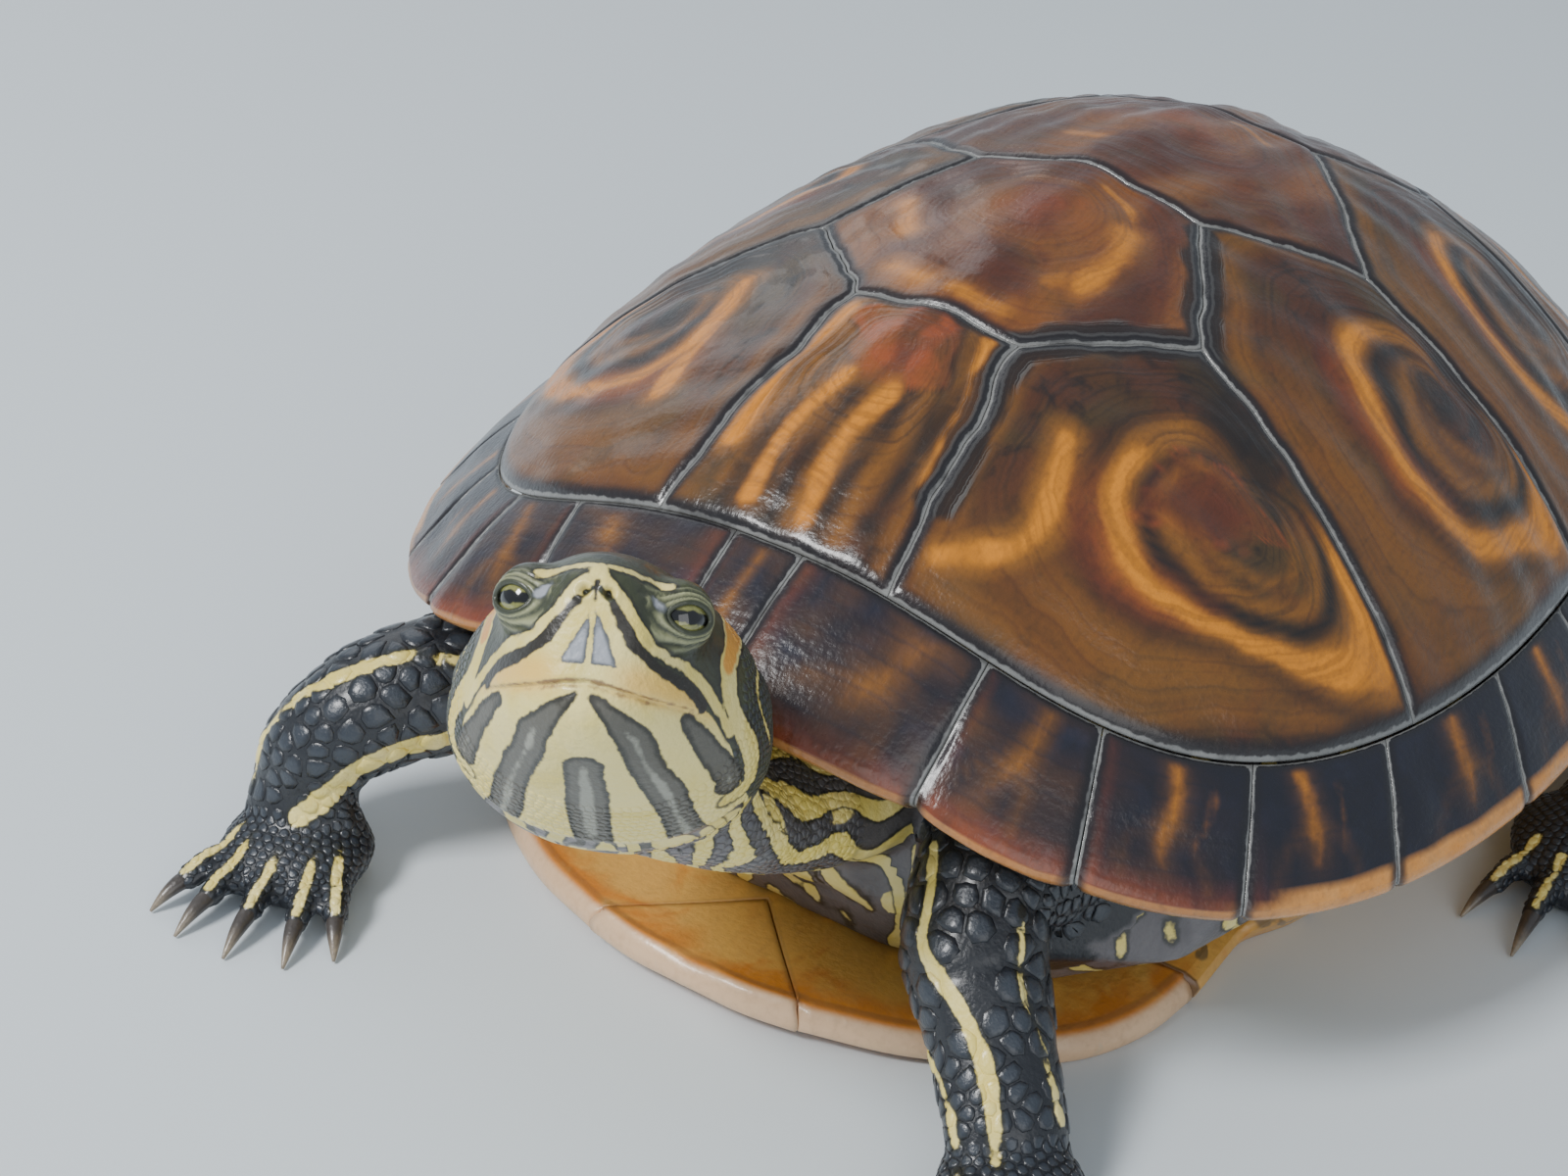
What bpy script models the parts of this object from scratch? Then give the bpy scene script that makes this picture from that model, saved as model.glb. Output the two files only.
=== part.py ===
"""A slider turtle, life-size and still, as a museum shows one: shell plates, flesh and eyes.

It faces -Y with its left side at +X, and its plastron and feet rest on the floor at z = 0.
The functions work in millimetres; solid() turns them into Blender's metres.
"""

import math

import bmesh
import bpy
from mathutils import Vector

MM = 0.001
GAP = 0.3  # between neighbouring solids
INSET = 0.8 * GAP  # from a seam's line to the edge of the plate beside it
SLIVER = 0.02  # points nearer than this after a Boolean are one
STRAY_POINTS = 8  # fewer joined points than this are a Boolean's crumb

# Carapace: a dome inside the marginal seam, and marginals that flare from that seam to the rim.
HALF_LENGTH = 100.0
HALF_WIDTH = 77.0
OUTLINE_POWER = 2.46
APEX_Z = 79.8
DOME_POWER = {"front": 2.05, "side": 1.86, "rear": 1.95}
DOME_ROUNDNESS = 0.84
KEEL_HEIGHT, KEEL_WIDTH = 0.9, 5.0
RIM_Z = {"front": 46.0, "side": 28.0, "rear": 21.0}
SEAM_Z = {"front": 57.0, "side": 38.5, "rear": 37.0}
SEAM_SHARE = {"front": 0.83, "side": 0.88, "rear": 0.87}
FLARE = 0.8
PLATE = 3.0
SERRATION = 1.1  # the rear marginals' points, and the first ones', stand this far beyond the notches
DOME_FOCUS_SHARE, DOME_FOCUS_Z = 0.35, 4.0  # what the plates' walls aim at: share of the way out, height
FAR_POWER = {"front": 7.0, "rear": 3.0}  # how late the values for front and rear set in round the outline
SEAM_SHARE_POWER = 12  # and that for the seam's share
PLATE_RINGS = (1.0, 0.66, 0.33)  # share of the way out of a dome plate's rings
RIM_SHAPE = {"nose_in": 0.012, "nose_drop": 2.4, "under_share": 0.94, "under_drop": 0.6, "inner_rise": 2.2}
MARGINAL_CUTS = ((0.0, 0.0), (1 / 3, 0.9), (2 / 3, 1.0), (1.0, 0.1))  # share of the way, share of bulge

# Where seams meet, in plan. Angles run from the front, in degrees, towards the turtle's left.
NUCHAL_ANGLE = 3.0
V1_ANGLE = 10.2
V5_ANGLE = 146.0
MARGINAL_ANGLES = (NUCHAL_ANGLE, 18.4, 27.0, 38.8, 52.0, 69.0, 85.0, 100.0, 114.0, 128.0, 143.0, 161.0,
                   180.0)
# How many degrees each of these seams turns between the marginal seam and the rim.
RIM_LEANS = (1.0, 3.4, 1.0, 1.6, 2.0, 2.6, 1.0, 0.0, 0.0, 0.0, 0.0, 0.0, 0.0)
# How much of a marginal's full width it has there: less beside the neck.
RIM_REACHES = (0.94, 0.79, 0.94, 0.97, 1.0, 1.0, 1.0, 1.0, 1.0, 1.0, 1.0, 1.0, 1.0)
COSTAL_FEET = (55.5, 92.0, 121.0)
VERTEBRAL_CORNERS = ((11.0, -50.0), (16.0, -13.0), (15.5, 25.0), (11.5, 62.0))
COSTAL_HUBS = ((26.0, -33.0), (33.0, 0.5), (27.5, 41.0))
SEAM_STEP = 13.0  # longest straight piece along a plate's edge
MARGINAL_STEP = 7.5  # and along the marginal seam

# Plastron: a flat plate whose front lip turns up, joined to the marginals by a bridge at each side.
PLASTRON = 4.0
LIP_START_Y, LIP_LENGTH, LIP_RISE = -70.0, 26.0, 2.2
GULAR_HALF, GULAR_APEX_Y = 15.0, -77.0
PLASTRON_SEAMS = {"humeral": -58.0, "pectoral": -16.0, "abdominal": 38.0, "femoral": 68.0}
FRONT_LOBE = ((0.0, -95.0), (8.0, -94.6), (15.0, -93.0), (26.0, -88.8), (36.0, -82.2), (43.0, -75.0),
              (47.0, -66.5), (48.5, -58.0))
REAR_LOBE = ((48.5, 38.0), (45.5, 50.0), (43.0, 60.0), (40.0, 68.0), (33.0, 79.0), (24.0, 87.0),
             (14.0, 91.0), (6.0, 90.0), (0.0, 84.0))
BELLY_HALF = 53.0
BRIDGE = {"start": -46.0, "end": 34.0, "blend": 12.0, "share": 0.915, "foot_z": 0.8,
          "thick_share": 0.045, "under_rim": 1.2, "over_rim": 0.2, "narrows": 2.0,
          "bulge": (1.4, 0.0, -1.0), "inner_bulge": 0.6}
# The belly's edge beyond the bridge.
BELLY_EDGE = {"flat": 2.0, "out": 0.6, "z": 2.4, "round": 0.6, "inner": 1.5}
BELLY_CUTS = {"pectoral": 5, "abdominal": 6}
# A lobe plate's rings: how far in from the outline at the rim and at a seam, and height.
LOBE_RINGS = ((1.4, 2 * GAP, 0.0), (INSET, INSET, 0.8), (INSET, INSET, 2.0), (3.0, INSET + 0.1, PLASTRON))
HUMERAL_CORNER_X, FEMORAL_CORNER_X, ANAL_CORNER_X = 24.0, 24.0, 20.0

# Head: its own frame has F forward, L to the turtle's left and U up, from a centre between the ears.
HEAD_CENTRE = Vector((1.2, -112.8, 57.2))
HEAD_YAW, HEAD_PITCH = math.radians(27.0), math.radians(39.0)
# F, half width, top, bottom, level of the widest point
HEAD_RINGS = ((17.4, 1.8, 5.8, 0.6, 3.4), (16.9, 4.0, 7.0, -6.2, 1.5), (15.2, 6.2, 8.0, -8.6, -1.5),
              (12.0, 8.8, 9.2, -10.8, -3.0), (8.0, 11.2, 9.8, -12.8, -4.0), (4.0, 13.6, 9.6, -14.6, -4.8),
              (0.0, 15.6, 9.0, -16.4, -5.4), (-4.0, 16.6, 8.0, -18.0, -6.0), (-8.5, 16.6, 6.6, -19.0, -6.4),
              (-10.8, 16.2, 5.9, -18.9, -6.4))
HEAD_POWERS = (0.92, 0.96)  # above and below the widest point; under 1 the rings are fuller than ovals
EYE_F, EYE_L, EYE_U, EYE_RADIUS = 10.4, 6.8, 3.7, 3.4
MOUTH_CORNER_F, MOUTH_CORNER_U = 5.6, -5.2
MOUTH_LINE = ((11.0, -5.1), (15.0, -4.8), (24.0, -2.0))  # F and U ahead of its corners
JAW_HALF, JAW_DEPTH_U = 22.0, -26.0  # the box that holds the lower jaw reaches past it

NAPE = 0.92  # the neck's size behind the head, as a share of the head's

# Neck, tail and legs: centre, half width, half height of each ring from the body outwards.
NECK_RINGS = (((0.0, -62.0, 26.0), 21.0, 12.2), ((0.0, -79.0, 27.1), 20.4, 10.9),
              ((-1.6, -91.0, 29.6), 18.6, 9.0), ((-1.6, -104.0, 36.4), 16.8, 7.5))
TAIL_RINGS = (((0.0, 70.0, 17.0), 10.0, 8.0), ((0.0, 86.0, 13.0), 7.5, 6.5), ((2.0, 99.0, 8.5), 5.0, 4.6),
              ((6.5, 110.0, 4.4), 3.0, 3.0), ((11.0, 118.5, 1.6), 1.2, 1.4))
FORELEG_LEFT = (((34.0, -66.0, 22.0), 9.0, 9.0), ((30.0, -79.0, 23.5), 9.0, 8.6),
                ((32.5, -86.5, 18.5), 8.6, 7.4), ((38.5, -92.0, 12.6), 7.4, 6.4),
                ((45.0, -98.6, 6.4), 7.0, 4.6))
FORELEG_RIGHT = (((-33.0, -66.0, 21.0), 9.5, 9.0), ((-41.0, -82.0, 22.0), 9.2, 9.0),
                 ((-48.5, -93.0, 19.8), 8.6, 8.2), ((-53.2, -98.6, 13.5), 7.8, 6.8),
                 ((-52.0, -101.6, 7.2), 8.2, 4.8))
HINDLEG_LEFT = (((34.0, 56.0, 20.0), 11.0, 9.0), ((57.0, 50.0, 17.0), 10.5, 8.4),
                ((75.0, 38.0, 14.5), 9.0, 7.8), ((79.5, 20.0, 11.5), 7.4, 6.6),
                ((80.6, 2.0, 6.8), 8.4, 4.8))
HINDLEG_RIGHT = (((-34.0, 56.0, 20.0), 11.0, 9.0), ((-54.0, 59.0, 17.0), 10.5, 8.4),
                 ((-69.0, 64.0, 14.0), 9.0, 7.6), ((-77.0, 76.0, 10.5), 7.4, 6.4),
                 ((-84.0, 91.0, 6.8), 8.4, 4.8))
# A foot: palm centre, heading of its middle toe (degrees from the front, to the left), half width, length.
FEET = {"foreleg_left": ((47.2, -101.6, 4.2), 20.0, 8.4, 9.0),
        "foreleg_right": ((-51.0, -103.8, 4.2), 14.0, 9.6, 9.0),
        "hindleg_left": ((80.6, -0.8, 4.4), 16.0, 12.5, 12.0),
        "hindleg_right": ((-85.0, 93.5, 4.4), -148.0, 12.5, 12.0)}
PALM_SINK = 0.3  # how far below the floor a palm is drawn before it is cut flat
# Rings of a palm: share of its length ahead of its centre, share of its width, share of its height.
PALM_SHAPE = ((-0.75, 0.62, 0.80), (-0.35, 0.92, 1.0), (0.2, 1.0, 0.95), (0.65, 0.86, 0.72),
              (0.95, 0.55, 0.45))
TOE_RADIUS, TOE_ROOT_Z, TOE_ROOTS_WIDTH, TOE_ROOTS_TURN, TOE_ROOTS_AHEAD = 2.0, 3.0, 0.86, 1.35, 0.5
TOE_PATH = ((0.0, 0.0, 1.0), (0.45, 0.6, 0.95), (1.0, -0.4, 0.78))  # share of its length, rise, thickness
CLAW_PATH, CLAW_TIP_Z = ((0.5, 0.3, 0.48), (1.0, 1.0, 0.12)), 0.25  # share of its length, drop, thickness
TOE_FAN = (-46.0, -23.0, 0.0, 23.0, 46.0)
TOE_SPREAD = {"fore": 0.55, "hind": 0.7}  # how much of the fan shows in the toes' headings
FORE_TOES = ((6.5, 5.2), (7.5, 6.0), (8.0, 6.3), (7.5, 6.0), (6.0, 5.0))  # toe length, claw length
HIND_TOES = ((8.0, 6.0), (10.5, 7.0), (11.5, 7.5), (10.5, 6.5), (8.0, 3.0))

COLOURS = {"vertebral": (0.10, 0.05, 0.03), "costal": (0.12, 0.06, 0.03), "marginal": (0.05, 0.04, 0.05),
           "nuchal": (0.05, 0.04, 0.05), "plastron": (0.75, 0.45, 0.12), "trunk": (0.20, 0.18, 0.16),
           "neck": (0.55, 0.52, 0.30), "head": (0.50, 0.50, 0.25), "lower": (0.72, 0.68, 0.40),
           "eye": (0.30, 0.36, 0.08), "tail": (0.12, 0.13, 0.09), "foreleg": (0.08, 0.10, 0.08),
           "hindleg": (0.08, 0.10, 0.08)}
SHELL_ROUGHNESS, SKIN_ROUGHNESS, EYE_ROUGHNESS = 0.3, 0.5, 0.08


# ---------------------------------------------------------------- meshes and objects

def material(name, part):
    colour = COLOURS[part.split("_")[0]]
    shell = part.startswith(("vertebral", "costal", "marginal", "nuchal", "plastron"))
    made = bpy.data.materials.new(name)
    made.use_nodes = True
    shader = made.node_tree.nodes["Principled BSDF"]
    shader.inputs["Base Color"].default_value = (*colour, 1.0)
    shader.inputs["Metallic"].default_value = 0.0
    shader.inputs["Roughness"].default_value = (
        SHELL_ROUGHNESS if shell else EYE_ROUGHNESS if part.startswith("eye") else SKIN_ROUGHNESS)
    made.diffuse_color = (*colour, 1.0)
    return made


def solid(name, points, faces, origin=None):
    """A closed mesh object facing out, its origin at the one given or at the middle of its points."""
    centre = Vector(origin) if origin else sum(points, Vector()) / len(points)
    mesh = bpy.data.meshes.new(name)
    mesh.from_pydata([(point - centre) * MM for point in points], [], faces)
    shape = bmesh.new()
    shape.from_mesh(mesh)
    bmesh.ops.recalc_face_normals(shape, faces=shape.faces)
    bmesh.ops.triangulate(shape, faces=[face for face in shape.faces if len(face.verts) > 4])
    shape.to_mesh(mesh)
    shape.free()
    made = bpy.data.objects.new(name, mesh)
    made.location = centre * MM
    bpy.context.scene.collection.objects.link(made)
    mesh.materials.append(material(name, name))
    return made


def loft_faces(rings, closed_start=True, closed_end=True):
    """Points and faces of a tube through rings of equally many points, with n-gon ends."""
    size = len(rings[0])
    points = [point for ring in rings for point in ring]
    faces = [(row + k, row + (k + 1) % size, row + size + (k + 1) % size, row + size + k)
             for row in range(0, (len(rings) - 1) * size, size) for k in range(size)]
    if closed_start:
        faces.append(tuple(range(size)))
    if closed_end:
        faces.append(tuple(range((len(rings) - 1) * size, len(rings) * size)))
    return points, faces


def helper(made):
    """Keeps a cutter out of the model."""
    made.hide_render = True
    made.display_type = "WIRE"
    return made


def boolean(target, cutter, operation="DIFFERENCE"):
    modifier = target.modifiers.new(cutter.name, "BOOLEAN")
    modifier.object = cutter
    modifier.operation = operation
    modifier.solver = "EXACT"


def island(start):
    """The vertices joined to one."""
    found, waiting = {start}, [start]
    while waiting:
        for edge in waiting.pop().link_edges:
            for vertex in edge.verts:
                if vertex not in found:
                    found.add(vertex)
                    waiting.append(vertex)
    return found


def settled(made):
    """The object's mesh after its modifiers, without the slivers that Booleans leave."""
    bpy.context.view_layer.update()
    evaluated = made.evaluated_get(bpy.context.evaluated_depsgraph_get())
    shape = bmesh.new()
    shape.from_mesh(evaluated.to_mesh())
    evaluated.to_mesh_clear()
    bmesh.ops.triangulate(shape, faces=shape.faces)
    bmesh.ops.remove_doubles(shape, verts=shape.verts, dist=SLIVER * MM)
    bmesh.ops.dissolve_degenerate(shape, edges=shape.edges, dist=SLIVER * MM)
    bmesh.ops.triangulate(shape, faces=shape.faces)
    twins = {}
    for face in shape.faces:
        twins.setdefault(frozenset(face.verts), []).append(face)
    folded = [face for alike in twins.values() if len(alike) > 1 for face in alike]
    bmesh.ops.delete(shape, geom=folded, context="FACES")
    left = set(shape.verts)
    while left:
        joined = island(next(iter(left)))
        left -= joined
        if len(joined) < STRAY_POINTS:
            bmesh.ops.delete(shape, geom=list(joined), context="VERTS")
    made.modifiers.clear()
    return shape


def settle(made):
    shape = settled(made)
    shape.to_mesh(made.data)
    shape.free()


def cut_flat_at_floor(made):
    """Applies the object's modifiers, then cuts off what is below z = 0 and closes the cut with a flat."""
    shape = settled(made)
    cut = bmesh.ops.bisect_plane(shape, geom=shape.verts[:] + shape.edges[:] + shape.faces[:], dist=1e-7,
                                 plane_co=(0.0, 0.0, -made.location.z), plane_no=(0.0, 0.0, -1.0),
                                 clear_outer=True)
    edges = [item for item in cut["geom_cut"] if isinstance(item, bmesh.types.BMEdge)]
    bmesh.ops.edgenet_fill(shape, edges=edges)
    bmesh.ops.triangulate(shape, faces=[face for face in shape.faces if len(face.verts) > 4])
    shape.to_mesh(made.data)
    shape.free()


# ---------------------------------------------------------------- the carapace's surface

def direction(x, y):
    """-1 at the outline's front, 0 at its sides, 1 at its rear; and the share of the way to the rim."""
    along = y / HALF_LENGTH
    share = (abs(x / HALF_WIDTH) ** OUTLINE_POWER + abs(along) ** OUTLINE_POWER) ** (1 / OUTLINE_POWER)
    return along / max(share, 1e-6), share


def between(values, along):
    """The value for a direction, from those at the front, side and rear."""
    end = "front" if along < 0 else "rear"
    return values["side"] + (values[end] - values["side"]) * abs(along) ** FAR_POWER[end]


def rim_point(degrees, share=1.0):
    """(x, y) on the outline, or inside it by a share, at an angle from the front towards the left."""
    x, y = math.sin(math.radians(degrees)), -math.cos(math.radians(degrees))
    power = OUTLINE_POWER
    radius = (abs(x / HALF_WIDTH) ** power + abs(y / HALF_LENGTH) ** power) ** (-1 / power)
    return radius * share * x, radius * share * y


def seam_share(degrees):
    x, y = rim_point(degrees)
    share = SEAM_SHARE["front"] if y < 0 else SEAM_SHARE["rear"]
    along = abs(direction(x, y)[0])
    return SEAM_SHARE["side"] + (share - SEAM_SHARE["side"]) * along ** SEAM_SHARE_POWER


def dome(x, y):
    """Height of the carapace over a point inside the marginal seam."""
    along, share = direction(x, y)
    degrees = math.degrees(math.atan2(x, -y))
    inward = min(share / seam_share(degrees), 1.0)
    seam_z = between(SEAM_Z, along)
    height = seam_z + (APEX_Z - seam_z) * (1 - inward ** between(DOME_POWER, along)) ** DOME_ROUNDNESS
    return height + KEEL_HEIGHT * math.exp(-((x / KEEL_WIDTH) ** 2)) * (1 - inward ** 4)


def inwards(x, y):
    """Unit direction into the shell, shared by the walls of neighbouring plates."""
    focus = Vector((DOME_FOCUS_SHARE * x, DOME_FOCUS_SHARE * y, DOME_FOCUS_Z))
    return (focus - Vector((x, y, dome(x, y)))).normalized()


# ---------------------------------------------------------------- carapace plates

def along_line(start, end, step=SEAM_STEP):
    """Points from start up to, but not including, end."""
    pieces = max(1, math.ceil(math.dist(start, end) / step))
    return [(start[0] + (end[0] - start[0]) * k / pieces, start[1] + (end[1] - start[1]) * k / pieces)
            for k in range(pieces)]


def along_seam(start, end, step=MARGINAL_STEP):
    """Points along the marginal seam between two angles, without the last."""
    length = math.dist(rim_point(start, SEAM_SHARE["rear"]), rim_point(end, SEAM_SHARE["rear"]))
    pieces = max(1, math.ceil(length / step))
    return [seam_point(start + (end - start) * k / pieces) for k in range(pieces)]


def seam_point(degrees):
    return rim_point(degrees, seam_share(degrees))


def mirrored(outline):
    return [(-x, y) for x, y in reversed(outline)]


def vertebral_outline(number):
    if number == 1:
        x, y = VERTEBRAL_CORNERS[0]
        return (along_seam(-V1_ANGLE, V1_ANGLE) + along_line(seam_point(V1_ANGLE), (x, y))
                + along_line((x, y), (-x, y)) + along_line((-x, y), seam_point(-V1_ANGLE)))
    if number == 5:
        x, y = VERTEBRAL_CORNERS[3]
        turn = 360 - V5_ANGLE
        return (along_line((-x, y), (x, y)) + along_line((x, y), seam_point(V5_ANGLE))
                + along_seam(V5_ANGLE, turn) + along_line(seam_point(turn), (-x, y)))
    front, rear = VERTEBRAL_CORNERS[number - 2:number]
    hub = COSTAL_HUBS[number - 2]
    corners = [(-front[0], front[1]), front, hub, rear, (-rear[0], rear[1]), (-hub[0], hub[1])]
    return [point for k, corner in enumerate(corners)
            for point in along_line(corner, corners[(k + 1) % len(corners)])]


def costal_outline(number):
    """The left costal of that number."""
    feet = (V1_ANGLE, *COSTAL_FEET, V5_ANGLE)
    start, end = feet[number - 1], feet[number]
    front = seam_point(start) if number == 1 else COSTAL_HUBS[number - 2]
    rear = seam_point(end) if number == 4 else COSTAL_HUBS[number - 1]
    corner = VERTEBRAL_CORNERS[number - 1]
    outline = [] if number == 1 else along_line(front, seam_point(start))
    outline += along_seam(start, end)
    outline += [] if number == 4 else along_line(seam_point(end), rear)
    return outline + along_line(rear, corner) + along_line(corner, front)


def dome_plate(name, outline):
    """A plate of the dome, PLATE thick: rings from its outline, shrunk by half a gap, to its middle."""
    middle = Vector((sum(x for x, _ in outline), sum(y for _, y in outline))) / len(outline)
    edge = [middle + (Vector(point) - middle) * (1 - INSET / (Vector(point) - middle).length)
            for point in outline]
    top = [[middle + (point - middle) * share for point in edge] for share in PLATE_RINGS]
    rings = [[Vector((x, y, dome(x, y))) for x, y in ring] for ring in top]
    under = [[point + inwards(point.x, point.y) * PLATE for point in ring] for ring in reversed(rings)]
    points, faces = loft_faces([*under, *rings])
    return solid(name, points, faces)


def marginal_section(degrees, lean, width, serration=0.0):
    """Ring of points round a marginal's cut at an angle, from the seam over the rim and back inside.

    lean is how many degrees less the rim's point has than the seam's, width the share of the full width.
    """
    x, y = rim_point(degrees)
    along = direction(x, y)[0]
    rim_z, seam_z = between(RIM_Z, along), between(SEAM_Z, along)
    share = seam_share(degrees)
    outer = share + INSET / HALF_WIDTH
    reach = outer + (1.0 + serration / math.hypot(x, y) - outer) * width
    under = outer + (RIM_SHAPE["under_share"] - outer) * width

    def at(part, z):
        return Vector((*rim_point(degrees - lean * (part - outer) / (1 - outer), part), z))

    return [at(outer, seam_z), at((outer + reach) / 2, (seam_z + rim_z) / 2 + FLARE), at(reach, rim_z),
            at(reach - RIM_SHAPE["nose_in"], rim_z - RIM_SHAPE["nose_drop"]),
            at(under, rim_z - RIM_SHAPE["under_drop"]),
            at(outer, rim_z + RIM_SHAPE["inner_rise"])]


def marginal(name, start, end, leans, widths, side, points_back=0.0):
    """A marginal between two angles, shrunk by half a gap at each end. side: 1 left, -1 right."""
    trim = math.degrees(0.5 * GAP / HALF_WIDTH)
    start, end = start + trim, end - trim
    rings = [marginal_section(start + (end - start) * share, leans[0] + (leans[1] - leans[0]) * share,
                              widths[0] + (widths[1] - widths[0]) * share, points_back * bulge)
             for share, bulge in MARGINAL_CUTS]
    points, faces = loft_faces([[Vector((side * p.x, p.y, p.z)) for p in ring] for ring in rings])
    return solid(name, points, faces)


def carapace():
    for number in range(1, 6):
        dome_plate(f"vertebral_{number}", vertebral_outline(number))
    for number in range(1, 5):
        outline = costal_outline(number)
        dome_plate(f"costal_left_{number}", outline)
        dome_plate(f"costal_right_{number}", mirrored(outline))
    marginal("nuchal", -NUCHAL_ANGLE, NUCHAL_ANGLE, (-RIM_LEANS[0], RIM_LEANS[0]), RIM_REACHES[:1] * 2, 1)
    for number in range(1, 13):
        start, end = MARGINAL_ANGLES[number - 1:number + 1]
        leans = RIM_LEANS[number - 1:number + 1]
        widths = RIM_REACHES[number - 1:number + 1]
        serrated = SERRATION if number > 7 or number < 3 else 0.0
        marginal(f"marginal_left_{number}", start, end, leans, widths, 1, serrated)
        marginal(f"marginal_right_{number}", start, end, leans, widths, -1, serrated)


# ---------------------------------------------------------------- plastron

def lip_rise(y):
    """Height of the plastron's underside over the floor: its front lip turns up."""
    return LIP_RISE * max(0.0, (LIP_START_Y - y) / LIP_LENGTH) ** 2


def flat_plate(name, before, rim, after):
    """A plastron plate from the left half of its outline, from the midline and back to it.

    The rim's points are eased above and below; the seam's, before and after them, are square.
    """
    half = [(x, y, 0.0) for x, y in before] + [(x, y, 1.0) for x, y in rim]
    half += [(x, y, 0.0) for x, y in after]
    outline = half + [(-x, y, eased) for x, y, eased in reversed(half) if x > 0]
    middle = Vector((0.0, sum(y for _, y, _ in outline) / len(outline)))

    def ring(inset_rim, inset_seam, height):
        found = []
        for x, y, eased in outline:
            out = Vector((x, y)) - middle
            place = middle + out * (1 - (inset_seam + (inset_rim - inset_seam) * eased) / out.length)
            found.append(Vector((*place, lip_rise(place.y) + height)))
        return found

    points, faces = loft_faces([ring(*sizes) for sizes in LOBE_RINGS])
    return solid(name, points, faces)


def bridge_share(y):
    """0 in the lobes, 1 along the bridge, blended over its ends."""
    into = min(y - BRIDGE["start"], BRIDGE["end"] - y) / BRIDGE["blend"]
    eased = min(max(into, 0.0), 1.0)
    return eased * eased * (3 - 2 * eased)


def belly_half(y):
    """Half width of the flat belly between the lobes."""
    lobe = FRONT_LOBE[-1][0]
    return lobe + (BELLY_HALF - lobe) * bridge_share(y)


def belly_section(y):
    """Ring of points round the plastron's cut at y, where the bridge rises to the marginals."""
    share, half = bridge_share(y), belly_half(y)
    rim = HALF_WIDTH * (1 - abs(y / HALF_LENGTH) ** OUTLINE_POWER) ** (1 / OUTLINE_POWER)
    rim_z = between(RIM_Z, direction(rim, y)[0])
    edge, bulge = BELLY_EDGE, Vector(BRIDGE["bulge"]) * share
    foot = Vector((half, y, BRIDGE["foot_z"]))
    top = Vector((half + edge["out"], y, edge["z"])).lerp(
        Vector((rim * BRIDGE["share"], y, rim_z - BRIDGE["under_rim"])), share)
    inner_top = Vector((half, y, PLASTRON - edge["round"])).lerp(
        Vector((rim * (BRIDGE["share"] - BRIDGE["thick_share"]), y, rim_z + BRIDGE["over_rim"])), share)
    inner_foot = Vector((half - edge["inner"] - BRIDGE["narrows"] * share, y, PLASTRON))
    right = [Vector((0.0, y, 0.0)), Vector((half * 0.6, y, 0.0)), Vector((half - edge["flat"], y, 0.0)),
             foot, foot.lerp(top, 0.5) + bulge, top, inner_top,
             inner_top.lerp(inner_foot, 0.5) + bulge * BRIDGE["inner_bulge"],
             inner_foot, Vector((half * 0.5, y, PLASTRON)), Vector((0.0, y, PLASTRON))]
    left = [Vector((-point.x, point.y, point.z)) for point in right[1:-1]]
    return right + left[::-1]


def belly_plate(name, start, end, pieces):
    start, end = start + GAP / 2, end - GAP / 2
    cuts = [start + (end - start) * k / pieces for k in range(pieces + 1)]
    points, faces = loft_faces([belly_section(cut) for cut in cuts])
    return solid(name, points, faces, origin=(0.0, (start + end) / 2, 0.0))


def plastron():
    side = (GULAR_HALF / 2, (GULAR_APEX_Y + FRONT_LOBE[2][1]) / 2)
    flat_plate("plastron_gular", [], FRONT_LOBE[:3], [side, (0.0, GULAR_APEX_Y)])
    seam = PLASTRON_SEAMS["humeral"]
    flat_plate("plastron_humeral", [(0.0, GULAR_APEX_Y), side], FRONT_LOBE[2:],
               [(HUMERAL_CORNER_X, seam), (0.0, seam)])
    belly_plate("plastron_pectoral", seam, PLASTRON_SEAMS["pectoral"], BELLY_CUTS["pectoral"])
    front, rear = PLASTRON_SEAMS["abdominal"], PLASTRON_SEAMS["femoral"]
    belly_plate("plastron_abdominal", PLASTRON_SEAMS["pectoral"], front, BELLY_CUTS["abdominal"])
    flat_plate("plastron_femoral", [(0.0, front), (FEMORAL_CORNER_X, front)], REAR_LOBE[:4],
               [(ANAL_CORNER_X, rear), (0.0, rear)])
    flat_plate("plastron_anal", [(0.0, rear), (ANAL_CORNER_X, rear)], REAR_LOBE[3:], [])


# ---------------------------------------------------------------- flesh

TRUNK_LEVELS = ((None, -76.5, 76.0, 44.0), (14.0, -80.5, 79.0, 56.0))  # height, front, rear, half width
TRUNK_RIM = ((0.955, -1.0), (0.988, 3.2))  # share of the way to the marginal seam, height over the rim
TRUNK_DOME = (0.945, 0.87, 0.66, 0.4, 0.15)
TRUNK_POINTS = 30
TRUNK_POWER = {"front": 4.5, "rear": 2.6}  # a high power fills the corners by the forelegs
TRUNK_OVER_PLASTRON, TRUNK_UNDER_PLATES = 2.5 * GAP, PLATE + 4 * GAP


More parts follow.
